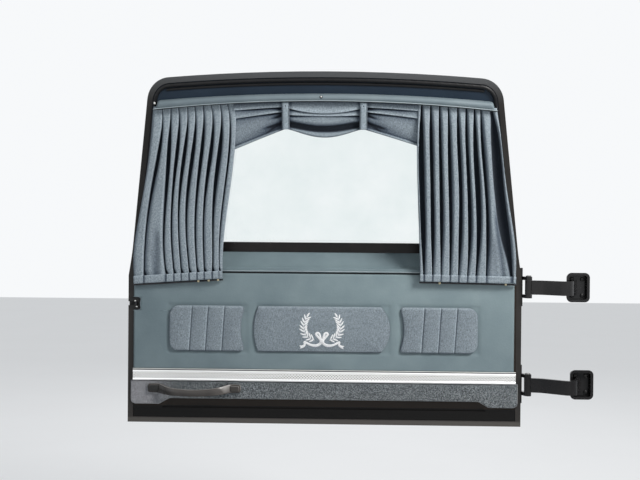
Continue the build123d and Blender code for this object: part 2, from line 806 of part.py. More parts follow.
# Curtains: gathered below the head rail, held by a rod at the hem, which is clipped to the panel
curtain_proud = VALANCE_BACK + VALANCE_THICK + TAB_THICK
curtain_top = RAIL_Z - curtain_proud * sin(radians(LEAN)) - SEAT
top_out = outline_half(RAIL_Z) - CURTAIN_TOP_GAP
hem_out = HALF - CURTAIN_HEM_GAP
hem_back_y = TRIM_Y - CURTAIN_GAP
rod_y = hem_back_y - CURTAIN_CLOTH / 2
for name, side, top_in, hem_in, hem_out_z, hem_in_z in CURTAINS:
    top_in_z = curtain_top - sag(top_in) * cos(radians(LEAN))
    top_out_z = curtain_top - sag(top_out) * cos(radians(LEAN))
    with BuildPart() as curtain:
        with BuildSketch(sloping(side * top_in, top_in_z, side * top_out, top_out_z)):
            add(pleat_row(side * (top_out - top_in), 0, [p[0] for p in PLEATS],
                          leaning_y(top_in_z, VALANCE_BACK)))
        with BuildSketch(sloping(side * hem_in, hem_in_z, side * hem_out, hem_out_z)):
            add(pleat_row(side * (hem_out - hem_in), 0, [p[1] for p in PLEATS], hem_back_y))
        loft(ruled=True)
    finish(f"curtain_{name}", curtain)

    rod_start = Vector(DOOR_X + side * hem_in, rod_y, hem_in_z - SEAT - ROD_R)
    rod_run = Vector(side * (hem_out - hem_in), 0, hem_out_z - hem_in_z)
    with BuildPart() as curtain_rod:
        with BuildSketch(Plane(origin=rod_start, x_dir=(0, 1, 0), z_dir=rod_run)):
            Circle(ROD_R)
        extrude(amount=rod_run.length)
        for place in (CLIP_INSET / rod_run.length, 1 - CLIP_INSET / rod_run.length):
            at = rod_start + rod_run * place
            with BuildSketch(facing(TRIM_Y)):
                with Locations((at.X - DOOR_X, at.Z)):
                    Rectangle(CLIP_SIZE, 2 * ROD_R)
            extrude(amount=TRIM_Y - rod_y)
    finish(f"curtain_rod_{name}", curtain_rod)

# Latch case: the box in the free edge, with the mouth for the striker
with BuildPart() as latch_case:
    with BuildSketch(facing(LATCH_Y + LATCH_DEEP)):
        with Locations((LATCH_X, LATCH_Z)):
            Rectangle(LATCH_WIDE, LATCH_TALL)
    extrude(amount=LATCH_DEEP)
    with BuildSketch(facing(LATCH_Y + MOUTH_DEEP)):
        with Locations((LATCH_X - LATCH_WALL, LATCH_Z)):
            Rectangle(LATCH_WIDE, MOUTH_TALL)
    extrude(amount=MOUTH_DEEP, mode=Mode.SUBTRACT)
    # Slot in which the claw turns
    with BuildSketch(facing(LATCH_Y + MOUTH_DEEP)):
        with Locations((LATCH_X, LATCH_Z)):
            Rectangle(CLAW_THICK + 2 * SEAT, 2 * CLAW_R + 2 * SEAT)
    extrude(amount=MOUTH_DEEP - LATCH_WALL, mode=Mode.SUBTRACT)
finish("latch_case", latch_case)

# Latch claw: a fork that closes on the striker
claw_back_y = LATCH_Y + MOUTH_DEEP - SEAT
with BuildPart() as latch_claw:
    with BuildSketch(through(LATCH_X - CLAW_THICK / 2)):
        with Locations((claw_back_y, LATCH_Z)):
            Rectangle(
                MOUTH_DEEP - LATCH_WALL - SEAT, 2 * CLAW_R, align=(Align.MAX, Align.CENTER)
            )
        with Locations((claw_back_y - CLAW_BRIDGE, LATCH_Z)):
            Rectangle(
                MOUTH_DEEP, MOUTH_TALL, align=(Align.MAX, Align.CENTER), mode=Mode.SUBTRACT
            )
    extrude(amount=CLAW_THICK)
finish("latch_claw", latch_claw)

# Outer handle: a dish in the skin, a bar on two posts over it, and the lock below
with BuildPart() as handle_dish:
    with BuildSketch(outer_face(GRIP_X, LATCH_Z)):
        RectangleRounded(BEZEL_WIDE, BEZEL_TALL, BEZEL_CORNER_R)
    extrude(amount=BEZEL_WALL)
    with BuildSketch(outer_face(GRIP_X, LATCH_Z)):
        RectangleRounded(
            BEZEL_HOLE_WIDE - 2 * SEAT, BEZEL_HOLE_TALL - 2 * SEAT, BEZEL_CORNER_R - BEZEL_RIM / 2
        )
    extrude(amount=-BEZEL_DEEP)
    with BuildSketch(outer_face(GRIP_X, LATCH_Z).offset(BEZEL_WALL)):
        RectangleRounded(
            BEZEL_HOLE_WIDE - 2 * BEZEL_WALL,
            BEZEL_HOLE_TALL - 2 * BEZEL_WALL,
            BEZEL_CORNER_R - BEZEL_RIM / 2,
        )
    extrude(amount=-BEZEL_DEEP, mode=Mode.SUBTRACT)
finish("handle_dish", handle_dish)

dish_floor = outer_face(GRIP_X, LATCH_Z).offset(BEZEL_WALL - BEZEL_DEEP)
with BuildPart() as outer_handle:
    with BuildSketch(dish_floor):
        with Locations((0, GRIP_RISE)):
            with GridLocations(GRIP_LONG - 2 * GRIP_TALL, 1, 2, 1):
                Circle(GRIP_POST_R)
    extrude(amount=BEZEL_DEEP)
    with BuildSketch(dish_floor.offset(BEZEL_DEEP)):
        with Locations((0, GRIP_RISE)):
            SlotOverall(GRIP_LONG, GRIP_TALL)
    extrude(amount=GRIP_THICK)
    outward = Axis(dish_floor.origin, dish_floor.z_dir)
    fillet(outer_handle.faces().sort_by(outward)[-1].edges(), radius=GRIP_THICK / 3)
finish("outer_handle", outer_handle)

with BuildPart() as lock_barrel:
    with BuildSketch(dish_floor):
        with Locations((0, -LOCK_DROP)):
            Circle(LOCK_R)
    extrude(amount=BEZEL_DEEP)
    with BuildSketch(dish_floor.offset(BEZEL_DEEP)):
        with Locations((0, -LOCK_DROP)):
            SlotOverall(LOCK_R, LOCK_R / 4, rotation=90)
    extrude(amount=-LOCK_R, mode=Mode.SUBTRACT)
finish("lock_barrel", lock_barrel)

# Hinges: a pocket in the pillar and an arm that curves out of it round the seal to an eye, and
# on the door a leaf with two lugs that carry the pin through the eye
pocket_wide = FOOT_WIDE + 2 * POCKET_ROOM
pocket_tall = FOOT_TALL + 2 * POCKET_ROOM
foot_y = -POCKET_WALL - FOOT_THICK
for name, hinge_z, mount_x in HINGES:
    with BuildPart() as hinge_pocket:
        with BuildSketch(Plane.XZ):
            with Locations((mount_x, hinge_z)):
                RectangleRounded(
                    pocket_wide + 2 * POCKET_WALL,
                    pocket_tall + 2 * POCKET_WALL,
                    POCKET_CORNER_R + POCKET_WALL,
                )
        extrude(amount=POCKET_DEEP)
        with BuildSketch(Plane.XZ.offset(POCKET_DEEP)):
            with Locations((mount_x, hinge_z)):
                RectangleRounded(
                    pocket_wide + 2 * POCKET_RIM,
                    pocket_tall + 2 * POCKET_RIM,
                    POCKET_CORNER_R + POCKET_RIM,
                )
        extrude(amount=-POCKET_WALL)
        with BuildSketch(Plane.XZ.offset(POCKET_WALL)):
            with Locations((mount_x, hinge_z)):
                RectangleRounded(pocket_wide, pocket_tall, POCKET_CORNER_R)
        extrude(amount=POCKET_DEEP, mode=Mode.SUBTRACT)
        with BuildSketch(Plane.XZ):
            with Locations((mount_x, hinge_z)):
                with GridLocations(BOLT_SPACING_X, BOLT_SPACING_Z, 2, 2):
                    Circle(BOLT_HOLE_R)
        extrude(amount=POCKET_DEEP, mode=Mode.SUBTRACT)
    finish(f"hinge_pocket_{name}", hinge_pocket)

    with BuildPart() as hinge_arm:
        with BuildSketch(Plane.XY.offset(hinge_z - ARM_TALL / 2)):
            with BuildLine() as spine:
                FilletPolyline(
                    (PIN_X, PIN_Y),
                    ARM_SHOULDER,
                    (ARM_ELBOW[0] + mount_x, ARM_ELBOW[1]),
                    (ARM_FOOT_X + mount_x, foot_y),
                    radius=[SHOULDER_R, ELBOW_R],
                )
            trace(line_width=ARM_THICK)
            with Locations((PIN_X, PIN_Y)):
                Circle(EYE_R)
        extrude(amount=ARM_TALL)
        with BuildSketch(Plane.XZ.offset(POCKET_WALL)):
            with Locations((mount_x, hinge_z)):
                RectangleRounded(FOOT_WIDE, FOOT_TALL, POCKET_CORNER_R)
        extrude(amount=FOOT_THICK)
        with BuildSketch(Plane.XZ):
            with Locations((mount_x, hinge_z)):
                with GridLocations(BOLT_SPACING_X, BOLT_SPACING_Z, 2, 2):
                    Circle(BOLT_HOLE_R)
        extrude(amount=POCKET_DEEP, mode=Mode.SUBTRACT)
        with BuildSketch(Plane.XY.offset(hinge_z - ARM_TALL)):
            with Locations((PIN_X, PIN_Y)):
                Circle(PIN_R + PIN_FIT)
        extrude(amount=2 * ARM_TALL, mode=Mode.SUBTRACT)
    finish(f"hinge_arm_{name}", hinge_arm)

    lug_z = ARM_TALL / 2 + LUG_GAP
    leaf_y = FRONT_Y + LEAF_INSET
    with BuildPart() as hinge_leaf:
        # The leaf is packed out to the door's side where that draws in
        with BuildSketch(Plane.YZ.offset(-EDGE_TO_MOUNT - LEAF_PACKING)):
            with Locations((leaf_y, hinge_z)):
                Rectangle(LEAF_SPAN, LEAF_TALL, align=(Align.MIN, Align.CENTER))
        extrude(amount=LEAF_PACKING + LEAF_THICK)
        add(door_block(door_outline(0), 0, 0), mode=Mode.SUBTRACT)
        for low in (lug_z, -lug_z - LUG_TALL):
            with BuildSketch(Plane.XY.offset(hinge_z + low)):
                with Locations((-EDGE_TO_MOUNT, leaf_y)):
                    Rectangle(LEAF_THICK, LEAF_SPAN / 2, align=(Align.MIN, Align.MIN))
                with Locations((PIN_X, PIN_Y)):
                    Circle(EYE_R)
                make_hull()
                with Locations((PIN_X, PIN_Y)):
                    Circle(PIN_R + PIN_FIT, mode=Mode.SUBTRACT)
            extrude(amount=LUG_TALL)
    finish(f"hinge_leaf_{name}", hinge_leaf)

    with BuildPart() as hinge_pin:
        with BuildSketch(Plane.XY.offset(hinge_z - lug_z - LUG_TALL)):
            with Locations((PIN_X, PIN_Y)):
                Circle(PIN_R)
        extrude(amount=2 * (lug_z + LUG_TALL))
        with BuildSketch(Plane.XY.offset(hinge_z + lug_z + LUG_TALL)):
            with Locations((PIN_X, PIN_Y)):
                Circle(PIN_HEAD_R)
        extrude(amount=PIN_HEAD_TALL)
        fillet(hinge_pin.edges().sort_by(Axis.Z)[-1], radius=PIN_HEAD_TALL / 2)
    finish(f"hinge_pin_{name}", hinge_pin)

os.makedirs("parts", exist_ok=True)
for name, part in parts.items():
    export_step(part, f"parts/{name}.step")
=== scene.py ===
import bmesh
import bpy
import numpy as np
from mathutils import Matrix, Vector


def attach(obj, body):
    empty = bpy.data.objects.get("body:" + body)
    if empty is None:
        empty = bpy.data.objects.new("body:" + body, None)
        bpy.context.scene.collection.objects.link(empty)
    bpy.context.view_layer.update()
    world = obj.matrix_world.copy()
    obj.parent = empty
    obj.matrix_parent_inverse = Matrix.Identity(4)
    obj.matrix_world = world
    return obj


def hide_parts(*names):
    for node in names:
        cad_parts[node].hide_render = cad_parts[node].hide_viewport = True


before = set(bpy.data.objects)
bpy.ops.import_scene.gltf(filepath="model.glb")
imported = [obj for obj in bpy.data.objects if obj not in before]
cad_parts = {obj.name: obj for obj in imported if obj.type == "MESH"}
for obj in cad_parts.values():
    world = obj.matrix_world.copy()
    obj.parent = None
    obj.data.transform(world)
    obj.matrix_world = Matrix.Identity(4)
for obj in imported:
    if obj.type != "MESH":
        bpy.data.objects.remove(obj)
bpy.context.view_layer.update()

# The dressed rear door of a hearse. Tables are in millimetres, with x measured from the
# door's middle and z up; put_mesh turns them into metres in the frame of the solids.
MM = 0.001
# The door's middle in the frame of the solids, and the trim's middle beside it
MIDDLE = -877.0
TRIM_MIDDLE = -2.5
# Face of the inner frame: its depth, the height where it begins to lean, and the lean
FRAME_Y = -26.0
KNEE_Z = 434.56
LEAN = np.radians(16)
# Line on that face that the head rail stands on: its height in the middle, and half its length
RAIL_Z = 930.0
RAIL_HALF = 554.5
RAIL_UP = (RAIL_Z - KNEE_Z) / np.cos(LEAN)
chance = np.random.default_rng(7)


# Camera, light and the nodes that finishes are made of


def look_from(place, azimuth, pitch, roll):
    """Camera at a place, turned by three angles: the view line swings left by azimuth and rises
    by pitch, and the camera rolls about it."""
    level = np.cos(pitch)
    view = Vector((-np.sin(azimuth) * level, np.cos(azimuth) * level, np.sin(pitch)))
    right = Vector((np.cos(azimuth), np.sin(azimuth), 0))
    tilted = right * float(np.cos(roll)) + right.cross(view) * float(np.sin(roll))
    turn = Matrix((tilted, tilted.cross(view), -view)).transposed().to_4x4()
    return Matrix.Translation(Vector(place) * MM) @ turn


lens = bpy.data.cameras.new("door_camera")
lens.sensor_width = 36
lens.lens = 50
camera = bpy.data.objects.new("door_camera", lens)
bpy.context.collection.objects.link(camera)
camera.matrix_world = look_from((-818.2, -3062.7, 500.5), np.radians(1.397), -0.0054, 0.0082)
bpy.context.scene.camera = camera
bpy.context.scene.view_settings.view_transform = "Standard"


def area_lamp(name, place, aim, size, watts, colour=(1, 1, 1)):
    """Square soft lamp at a place in metres, turned to face the point it aims at."""
    lamp = bpy.data.lights.new(name, "AREA")
    lamp.size = size
    lamp.energy = watts
    lamp.color = colour
    holder = bpy.data.objects.new(name, lamp)
    bpy.context.collection.objects.link(holder)
    turn = (Vector(aim) - Vector(place)).to_track_quat("-Z", "Y").to_matrix().to_4x4()
    holder.matrix_world = Matrix.Translation(Vector(place)) @ turn


area_lamp("key_lamp", (1.35, -2.0, 2.6), (-0.8, 0, 0.4), 1.0, 132, (1.0, 0.985, 0.96))
area_lamp("fill_lamp", (-3.6, -3.2, 1.6), (-0.9, 0, 0.4), 2.6, 15, (0.92, 0.96, 1.0))
area_lamp("back_lamp", (-0.8, 3.4, 2.6), (-0.8, 0, 0.4), 2.4, 60)


def add_node(owner, kind, links=(), **settings):
    """One node: settings name its properties, links pair a socket with an output or a value."""
    node = owner.node_tree.nodes.new("ShaderNode" + kind)
    for key, value in settings.items():
        setattr(node, key, value)
    for socket, source in links:
        entry = node.inputs[socket]
        if isinstance(source, bpy.types.NodeSocket):
            owner.node_tree.links.new(source, entry)
        elif entry.type == "RGBA":
            entry.default_value = (*source, 1)
        else:
            entry.default_value = source
    return node


def reckon(owner, operation, *values, clamp=False):
    """Output of one sum on outputs or plain values."""
    links = list(enumerate(values))
    return add_node(owner, "Math", links, operation=operation, use_clamp=clamp).outputs[0]


def shader_of(finish):
    return finish.node_tree.nodes["Principled BSDF"]


def to_shader(finish, socket, output):
    """Feeds a socket of the finish's shader."""
    finish.node_tree.links.new(output, shader_of(finish).inputs[socket])


def to_surface(owner, output, end):
    """Makes an output the surface of a finish or of the world."""
    owner.node_tree.links.new(output, owner.node_tree.nodes[end].inputs["Surface"])


world = bpy.data.worlds.new("studio")
world.use_nodes = True
bpy.context.scene.world = world
plain = world.node_tree.nodes["Background"]
plain.inputs["Color"].default_value = (0.86, 0.93, 1.0, 1)
plain.inputs["Strength"].default_value = 0.28
white = add_node(world, "Background", [("Color", (0.93, 0.945, 0.96)), ("Strength", 1.0)])
rays = add_node(world, "LightPath").outputs
seen = reckon(world, "ADD", rays["Is Camera Ray"], rays["Is Glossy Ray"], clamp=True)
seen = reckon(world, "ADD", seen, rays["Is Transmission Ray"], clamp=True)
pick = add_node(world, "MixShader", [(0, seen), (1, plain.outputs[0]), (2, white.outputs[0])])
to_surface(world, pick.outputs[0], "World Output")


def finish_of(name, colour, roughness, metallic=0.0, **sockets):
    """New finish with its plain numbers on the shader's own sockets."""
    finish = bpy.data.materials.new(name)
    finish.use_nodes = True
    shader = shader_of(finish)
    shader.inputs["Base Color"].default_value = (*colour, 1)
    shader.inputs["Roughness"].default_value = roughness
    shader.inputs["Metallic"].default_value = metallic
    for socket, value in sockets.items():
        shader.inputs[socket.replace("_", " ")].default_value = value
    return finish


def object_place(finish, stretch=(1, 1, 1)):
    """Place on the piece in metres, stretched by a factor along each axis."""
    coords = add_node(finish, "TexCoord").outputs["Object"]
    return add_node(finish, "Mapping", [("Vector", coords), ("Scale", stretch)]).outputs[0]


def cloth_place(finish, stretch=(1, 1, 1)):
    """Place on the cloth's own map, in metres of cloth."""
    coords = add_node(finish, "UVMap", uv_map="cloth").outputs["UV"]
    return add_node(finish, "Mapping", [("Vector", coords), ("Scale", stretch)]).outputs[0]


def clouds(finish, place, scale, detail=3.0, rough=0.55):
    """Noise pattern, with so many waves to a metre."""
    links = [("Vector", place), ("Scale", scale), ("Detail", detail), ("Roughness", rough)]
    return add_node(finish, "TexNoise", links).outputs["Fac"]


def cells(finish, place, scale, feature="F1"):
    """Pattern of small cells: the distance to each one's middle."""
    links = [("Vector", place), ("Scale", scale)]
    return add_node(finish, "TexVoronoi", links, feature=feature).outputs["Distance"]


def threads(finish, place, scale, direction="X", wobble=1.0):
    """Bands of thread across one direction, slightly uneven."""
    links = [("Vector", place), ("Scale", scale), ("Distortion", wobble), ("Detail", 1.0)]
    return add_node(finish, "TexWave", links, bands_direction=direction).outputs["Fac"]


def shades(finish, fac, *stops):
    """Colour from a factor, by stops of (place, colour)."""
    ramp = add_node(finish, "ValToRGB", [("Fac", fac)])
    while len(ramp.color_ramp.elements) < len(stops):
        ramp.color_ramp.elements.new(0.5)
    for element, (place, colour) in zip(ramp.color_ramp.elements, stops):
        element.position = place
        element.color = (*colour, 1)
    return ramp.outputs["Color"]


def mottled(finish, fac, dark, light):
    """Two tones of a colour over the middle part of a pattern."""
    return shades(finish, fac, (0.3, dark), (0.7, light))


def mixed(finish, fac, first, second, blend="MIX"):
    """Mix of two colours by a factor; each may be a plain value or an output."""
    links = [(0, fac), (6, first), (7, second)]
    return add_node(finish, "Mix", links, data_type="RGBA", blend_type=blend).outputs[2]


def tinted(finish, first, second):
    """Product of two colours."""
    return mixed(finish, 1.0, first, second, "MULTIPLY")


def share_of(finish, value, low, high):
    """Share from 0 to 1 of a value on its way from low to high."""
    links = [("Value", value), ("From Min", low), ("From Max", high)]
    return add_node(finish, "MapRange", links).outputs["Result"]


def side_of(finish, axis):
    """One coordinate of the place on the piece, in metres."""
    return add_node(finish, "SeparateXYZ", [("Vector", object_place(finish))]).outputs[axis]


def by_height(finish, low, high, first, second):
    """Mix of two colours by the height on the piece, from one level in metres to another."""
    return mixed(finish, share_of(finish, side_of(finish, "Z"), low, high), first, second)


def turned_to(finish, direction):
    """How far the surface faces a direction."""
    facing = add_node(finish, "TexCoord").outputs["Normal"]
    links = [(0, facing), (1, direction)]
    return add_node(finish, "VectorMath", links, operation="DOT_PRODUCT").outputs["Value"]


def painted_shade_mark(finish):
    """The mark "fold" on a piece's points, which carries painted shade and highlight."""
    return add_node(finish, "Attribute", attribute_name="fold").outputs["Fac"]


def relief(finish, height, depth, strength=1.0, under=None):
    """Bump of a height pattern, depth in metres, laid over another relief if one is given."""
    links = [("Height", height), ("Distance", depth), ("Strength", strength)]
    if under is not None:
        links.append(("Normal", under))
    return add_node(finish, "Bump", links).outputs["Normal"]


# Kinds of finish


def leatherette(name, dark, light):
    """Soft coated cloth: fine pebble grain, faint clouds of lighter colour, a low sheen."""
    finish = finish_of(name, light, 0.52, Specular_IOR_Level=0.42)
    place = object_place(finish)
    tone = mottled(finish, clouds(finish, place, 9, 4), dark, light)
    wear = clouds(finish, place, 3.2, 3, 0.6)
    worn = shades(finish, wear, (0.35, (0.86, 0.87, 0.88)), (0.65, (1.06, 1.05, 1.04)))
    to_shader(finish, "Base Color", tinted(finish, tone, worn))
    grain = cells(finish, place, 620, "SMOOTH_F1")
    creases = clouds(finish, place, 140, 5, 0.6)
    to_shader(finish, "Roughness", reckon(finish, "MULTIPLY_ADD", creases, 0.16, 0.44))
    creased = relief(finish, creases, 0.0011, 0.5)
    to_shader(finish, "Normal", relief(finish, grain, 0.0004, 0.7, creased))
    return finish


def upholstery_cloth(name, dark, light, mapped):
    """Woven melange cloth: crossed threads, dark and light flecks and a sheen. The mark "fold" on
    the points is painted shade and highlight: it runs from 0, painted shade on the floor of a fold,
    over 0.8 on a face to 1, a painted highlight on an edge."""
    sheen = {"Sheen_Weight": 0.35, "Sheen_Roughness": 0.45, "Sheen_Tint": (0.80, 0.90, 1.0, 1)}
    finish = finish_of(name, light, 0.92, Specular_IOR_Level=0.2, **sheen)
    place = cloth_place(finish) if mapped else object_place(finish)
    along = cloth_place(finish, (1, 0.22, 1)) if mapped else object_place(finish, (1, 1, 0.25))
    streaks = clouds(finish, along, 420, 3, 0.7)
    fleck = reckon(finish, "MULTIPLY", clouds(finish, place, 240, 3, 0.8), 0.45)
    fleck = reckon(finish, "MULTIPLY_ADD", streaks, 0.3, fleck)
    fleck = reckon(finish, "MULTIPLY_ADD", clouds(finish, place, 900, 2, 0.7), 0.25, fleck)
    yarn = shades(finish, fleck, (0.41, dark), (0.59, light))
    patches = clouds(finish, place, 7, 3)
    soft = shades(finish, patches, (0.25, (0.88, 0.88, 0.89)), (0.75, (1.0, 1.0, 1.0)))
    # Painted shade: the floor of a fold turns near black; painted highlight at the top stop
    floor = ((0.0, (0.02, 0.024, 0.034)), (0.35, (0.19, 0.21, 0.25)))
    face = ((0.8, (0.74, 0.74, 0.74)), (1.0, (1, 1, 1)))
    deep = shades(finish, painted_shade_mark(finish), *floor, *face)
    to_shader(finish, "Base Color", tinted(finish, tinted(finish, yarn, soft), deep))
    weft = threads(finish, place, 300, "Y" if mapped else "Z")
    weave = reckon(finish, "MAXIMUM", threads(finish, place, 300), weft)
    streaked = relief(finish, streaks, 0.0012, 0.45)
    to_shader(finish, "Normal", relief(finish, weave, 0.0003, 0.5, streaked))
    return finish


def coach_paint(name, dark, light, roughness, coat=0.8, peel=0.00025, gloss=0.35):
    """Dark glossy paint with clear coat, faint depth of colour and a slight orange peel."""
    coating = {"Coat_Weight": coat, "Coat_Roughness": 0.06}
    finish = finish_of(name, light, roughness, Specular_IOR_Level=gloss, **coating)
    place = object_place(finish)
    to_shader(finish, "Base Color", mottled(finish, clouds(finish, place, 5, 4), dark, light))
    to_shader(finish, "Normal", relief(finish, clouds(finish, place, 190, 2), peel, 0.35))
    return finish


def colour_of(finish):
    """What feeds the shader's colour so far, to be built on."""
    return shader_of(finish).inputs["Base Color"].links[0].from_socket


def bare_metal(name, dark, light, roughness, scratch=(1, 1, 1), scale=400, depth=0.0002):
    """Metal with fine drawn marks: roughness and colour follow a stretched noise."""
    finish = finish_of(name, light, roughness, 1.0)
    marks = clouds(finish, object_place(finish, scratch), scale, 4, 0.65)
    to_shader(finish, "Base Color", mottled(finish, marks, dark, light))
    uneven = shades(finish, marks, (0.2, (0.75,) * 3), (0.8, (1.25,) * 3))
    to_shader(finish, "Roughness", reckon(finish, "MULTIPLY", uneven, roughness))
    to_shader(finish, "Normal", relief(finish, marks, depth, 0.4))
    return finish


def moulded(name, dark, light, roughness, scale=900, depth=0.00025, gloss=0.45):
    """Moulded rubber or plastic with a fine matt texture."""
    finish = finish_of(name, light, roughness, Specular_IOR_Level=gloss)
    place = object_place(finish)
    to_shader(finish, "Base Color", mottled(finish, clouds(finish, place, 24, 4), dark, light))
    to_shader(finish, "Normal", relief(finish, clouds(finish, place, scale, 3), depth, 0.5))
    return finish


def carpet_pile(name):
    """Short needled pile: speckled dark blue-grey fibres, paler at the left ear, with a
    rough, fuzzy relief."""
    sheen = {"Sheen_Weight": 0.5, "Sheen_Roughness": 0.6}
    finish = finish_of(name, (0.12, 0.14, 0.155), 0.97, Specular_IOR_Level=0.1, **sheen)
    place = object_place(finish)
    fibres = clouds(finish, place, 300, 3, 0.9)
    dark = ((0.43, (0.012, 0.016, 0.020)), (0.5, (0.072, 0.088, 0.096)))
    speckle = shades(finish, fibres, *dark, (0.58, (0.275, 0.30, 0.315)))
    ear = share_of(finish, side_of(finish, "X"), -1.38, -1.47)
    paler = reckon(finish, "MULTIPLY", ear, 0.42)
    to_shader(finish, "Base Color", mixed(finish, paler, speckle, (0.42, 0.40, 0.43)))
    tufts = relief(finish, cells(finish, place, 380), 0.0016, 0.6)
    to_shader(finish, "Normal", relief(finish, fibres, 0.0022, 0.8, tufts))
    return finish


# Finishes of this door


def panel_leatherette():
    """The panel's cover, lighter towards the upper right as painted light, and darker on the sill
    above it.
    """
    finish = leatherette("panel_leatherette", (0.165, 0.222, 0.246), (0.205, 0.268, 0.290))
    # Painted light: the cover is lighter to the right and towards the top, as if lit from the upper
    # right
    right = reckon(finish, "MULTIPLY", share_of(finish, side_of(finish, "X"), -1.5, -0.7), 0.5)
    high = share_of(finish, side_of(finish, "Z"), 0.05, 0.33)
    light = reckon(finish, "MULTIPLY_ADD", high, 0.5, right)
    painted_light_and_sill_tone = shades(finish, light, (0.0, (0.76, 0.77, 0.78)), (1.0, (1.12, 1.11, 1.09)))
    painted_light_and_sill_tone = by_height(finish, 0.366, 0.378, painted_light_and_sill_tone, (0.86, 0.88, 0.88))
    to_shader(finish, "Base Color", tinted(finish, colour_of(finish), painted_light_and_sill_tone))
    return finish


def shell_paint():
    """Gloss skin outside. Where the shell faces the trimmed side it is satin, with a lighter foot, a
    painted reflection of the ground, and a lighter crown, painted light from above."""
    finish = coach_paint("coach_paint", (0.014, 0.012, 0.011), (0.023, 0.020, 0.018), 0.22)
    front = share_of(finish, turned_to(finish, (0, 1, 0)), -0.3, -0.8)
    to_shader(finish, "Roughness", reckon(finish, "MULTIPLY_ADD", front, 0.25, 0.2))
    to_shader(finish, "Coat Weight", reckon(finish, "MULTIPLY_ADD", front, -0.78, 0.8))
    skin = colour_of(finish)
    # Painted reflection of the ground at the foot, painted light from above on the crown
    hem = by_height(finish, -0.132, -0.126, (0.070, 0.064, 0.058), skin)
    hem = by_height(finish, 0.93, 1.015, hem, (0.085, 0.088, 0.092))
    to_shader(finish, "Base Color", mixed(finish, front, skin, hem))
    return finish


def frame_paint():
    """Blue-black round the window, black from the waist down with a brown tint that is a painted
    reflection of the ground, and a near black foot.
    """
    dark, light = (0.005, 0.010, 0.019), (0.010, 0.018, 0.032)
    finish = coach_paint("frame_paint", dark, light, 0.22, 0.12, gloss=0.2)
    patches = clouds(finish, object_place(finish), 5, 4)
    blue = mottled(finish, patches, (0.017, 0.028, 0.044), (0.025, 0.041, 0.064))
    # The brown tint of the black below the waist is a painted reflection of the ground
    foot, black = (0.0022, 0.0018, 0.0016), (0.020, 0.014, 0.010)
    low = by_height(finish, -0.090, -0.086, foot, black)
    to_shader(finish, "Base Color", by_height(finish, 0.36, 0.50, low, blue))
    return finish


def grip_plastic():
    """The grip's plastic with painted light: paler where it faces right and up, and painted
    highlights, palest on its right slope and along its upper edge."""
    dark, light = (0.020, 0.016, 0.014), (0.034, 0.028, 0.025)
    finish = moulded("handle_plastic", dark, light, 0.22, 240, 0.00008)
    # Painted light: the colour follows how far a face turns to the right and up, with painted
    # highlights
    turned = turned_to(finish, (0.75, -0.36, 0.50))
    patches = clouds(finish, object_place(finish), 24, 4)
    tone = mottled(finish, patches, (0.012, 0.010, 0.009), (0.022, 0.019, 0.017))
    slope = share_of(finish, turned, 0.72, 0.9)
    painted_highlight = mixed(finish, slope, (0.080, 0.071, 0.065), (0.36, 0.345, 0.33))
    tone = mixed(finish, share_of(finish, turned, 0.05, 0.75), tone, painted_highlight)
    edge = share_of(finish, turned_to(finish, (0.0, -0.45, 0.89)), 0.93, 0.985)
    to_shader(finish, "Base Color", mixed(finish, edge, tone, (0.34, 0.33, 0.32)))
    return finish


def knurled_metal():
    """Bright metal whose knurl is marked by "fold": painted shade darkens its grooves."""
    light, drawn = (0.90, 0.90, 0.89), (0.05, 1, 1)
    finish = bare_metal("bright_metal", (0.78, 0.78, 0.77), light, 0.34, drawn, 900)
    # Painted shade in the knurl's grooves, full brightness on its ridges
    grooves = ((0.0, (0.26, 0.25, 0.23)), (0.5, (0.78, 0.77, 0.74)))
    knurl = shades(finish, painted_shade_mark(finish), *grooves, (0.85, (1.0, 1.0, 0.99)))
    to_shader(finish, "Base Color", knurl)
    return finish


def satin_thread():
    """White embroidery thread in rows of stitches."""
    sheen = {"Sheen_Weight": 0.4, "Specular_IOR_Level": 0.6}
    finish = finish_of("embroidery_thread", (0.80, 0.80, 0.83), 0.42, **sheen)
    rows = threads(finish, cloth_place(finish), 420, "Y", 0.6)
    white_rows = shades(finish, rows, (0.0, (0.78, 0.78, 0.80)), (0.5, (0.94, 0.94, 0.95)))
    to_shader(finish, "Base Color", white_rows)
    to_shader(finish, "Normal", relief(finish, rows, 0.0003, 0.6))
    return finish


def sewing_thread():
    """Dark twisted thread."""
    finish = finish_of("sewing_thread", (0.07, 0.08, 0.09), 0.7)
    twist = threads(finish, object_place(finish), 700, "DIAGONAL")
    dark, light = (0.035, 0.042, 0.050), (0.11, 0.125, 0.14)
    to_shader(finish, "Base Color", shades(finish, twist, (0.2, dark), (0.8, light)))
    return finish


def wiped_glass():
    """Clear glass with faint wiping marks in its tint."""
    glass = {"Transmission_Weight": 1.0, "IOR": 1.45}
    finish = finish_of("window_glass", (0.90, 0.95, 0.94), 0.0, **glass)
    wipe = clouds(finish, object_place(finish), 6, 3)
    tint = mottled(finish, wipe, (0.86, 0.92, 0.91), (0.93, 0.97, 0.96))
    to_shader(finish, "Base Color", tint)
    return finish


def pale_floor():
    """Floor paint. Seen by the camera it is half as light as the backdrop and half lit, so it
    keeps the door's shadow."""
    finish = finish_of("pale_floor", (0.80, 0.80, 0.80), 0.9)
    dust = clouds(finish, object_place(finish), 1.3, 4)
    dusty = mottled(finish, dust, (0.80, 0.805, 0.81), (0.84, 0.845, 0.85))
    to_shader(finish, "Base Color", dusty)
    glow = add_node(finish, "Emission", [("Color", (0.90, 0.915, 0.93)), ("Strength", 1.0)])
    seen_floor = add_node(finish, "LightPath").outputs["Is Camera Ray"]
    share = reckon(finish, "MULTIPLY", seen_floor, 0.55)
    parts = [(0, share), (1, shader_of(finish).outputs[0]), (2, glow.outputs[0])]
    to_surface(finish, add_node(finish, "MixShader", parts).outputs[0], "Material Output")
    return finish


def grey(level):
    return (level,) * 3


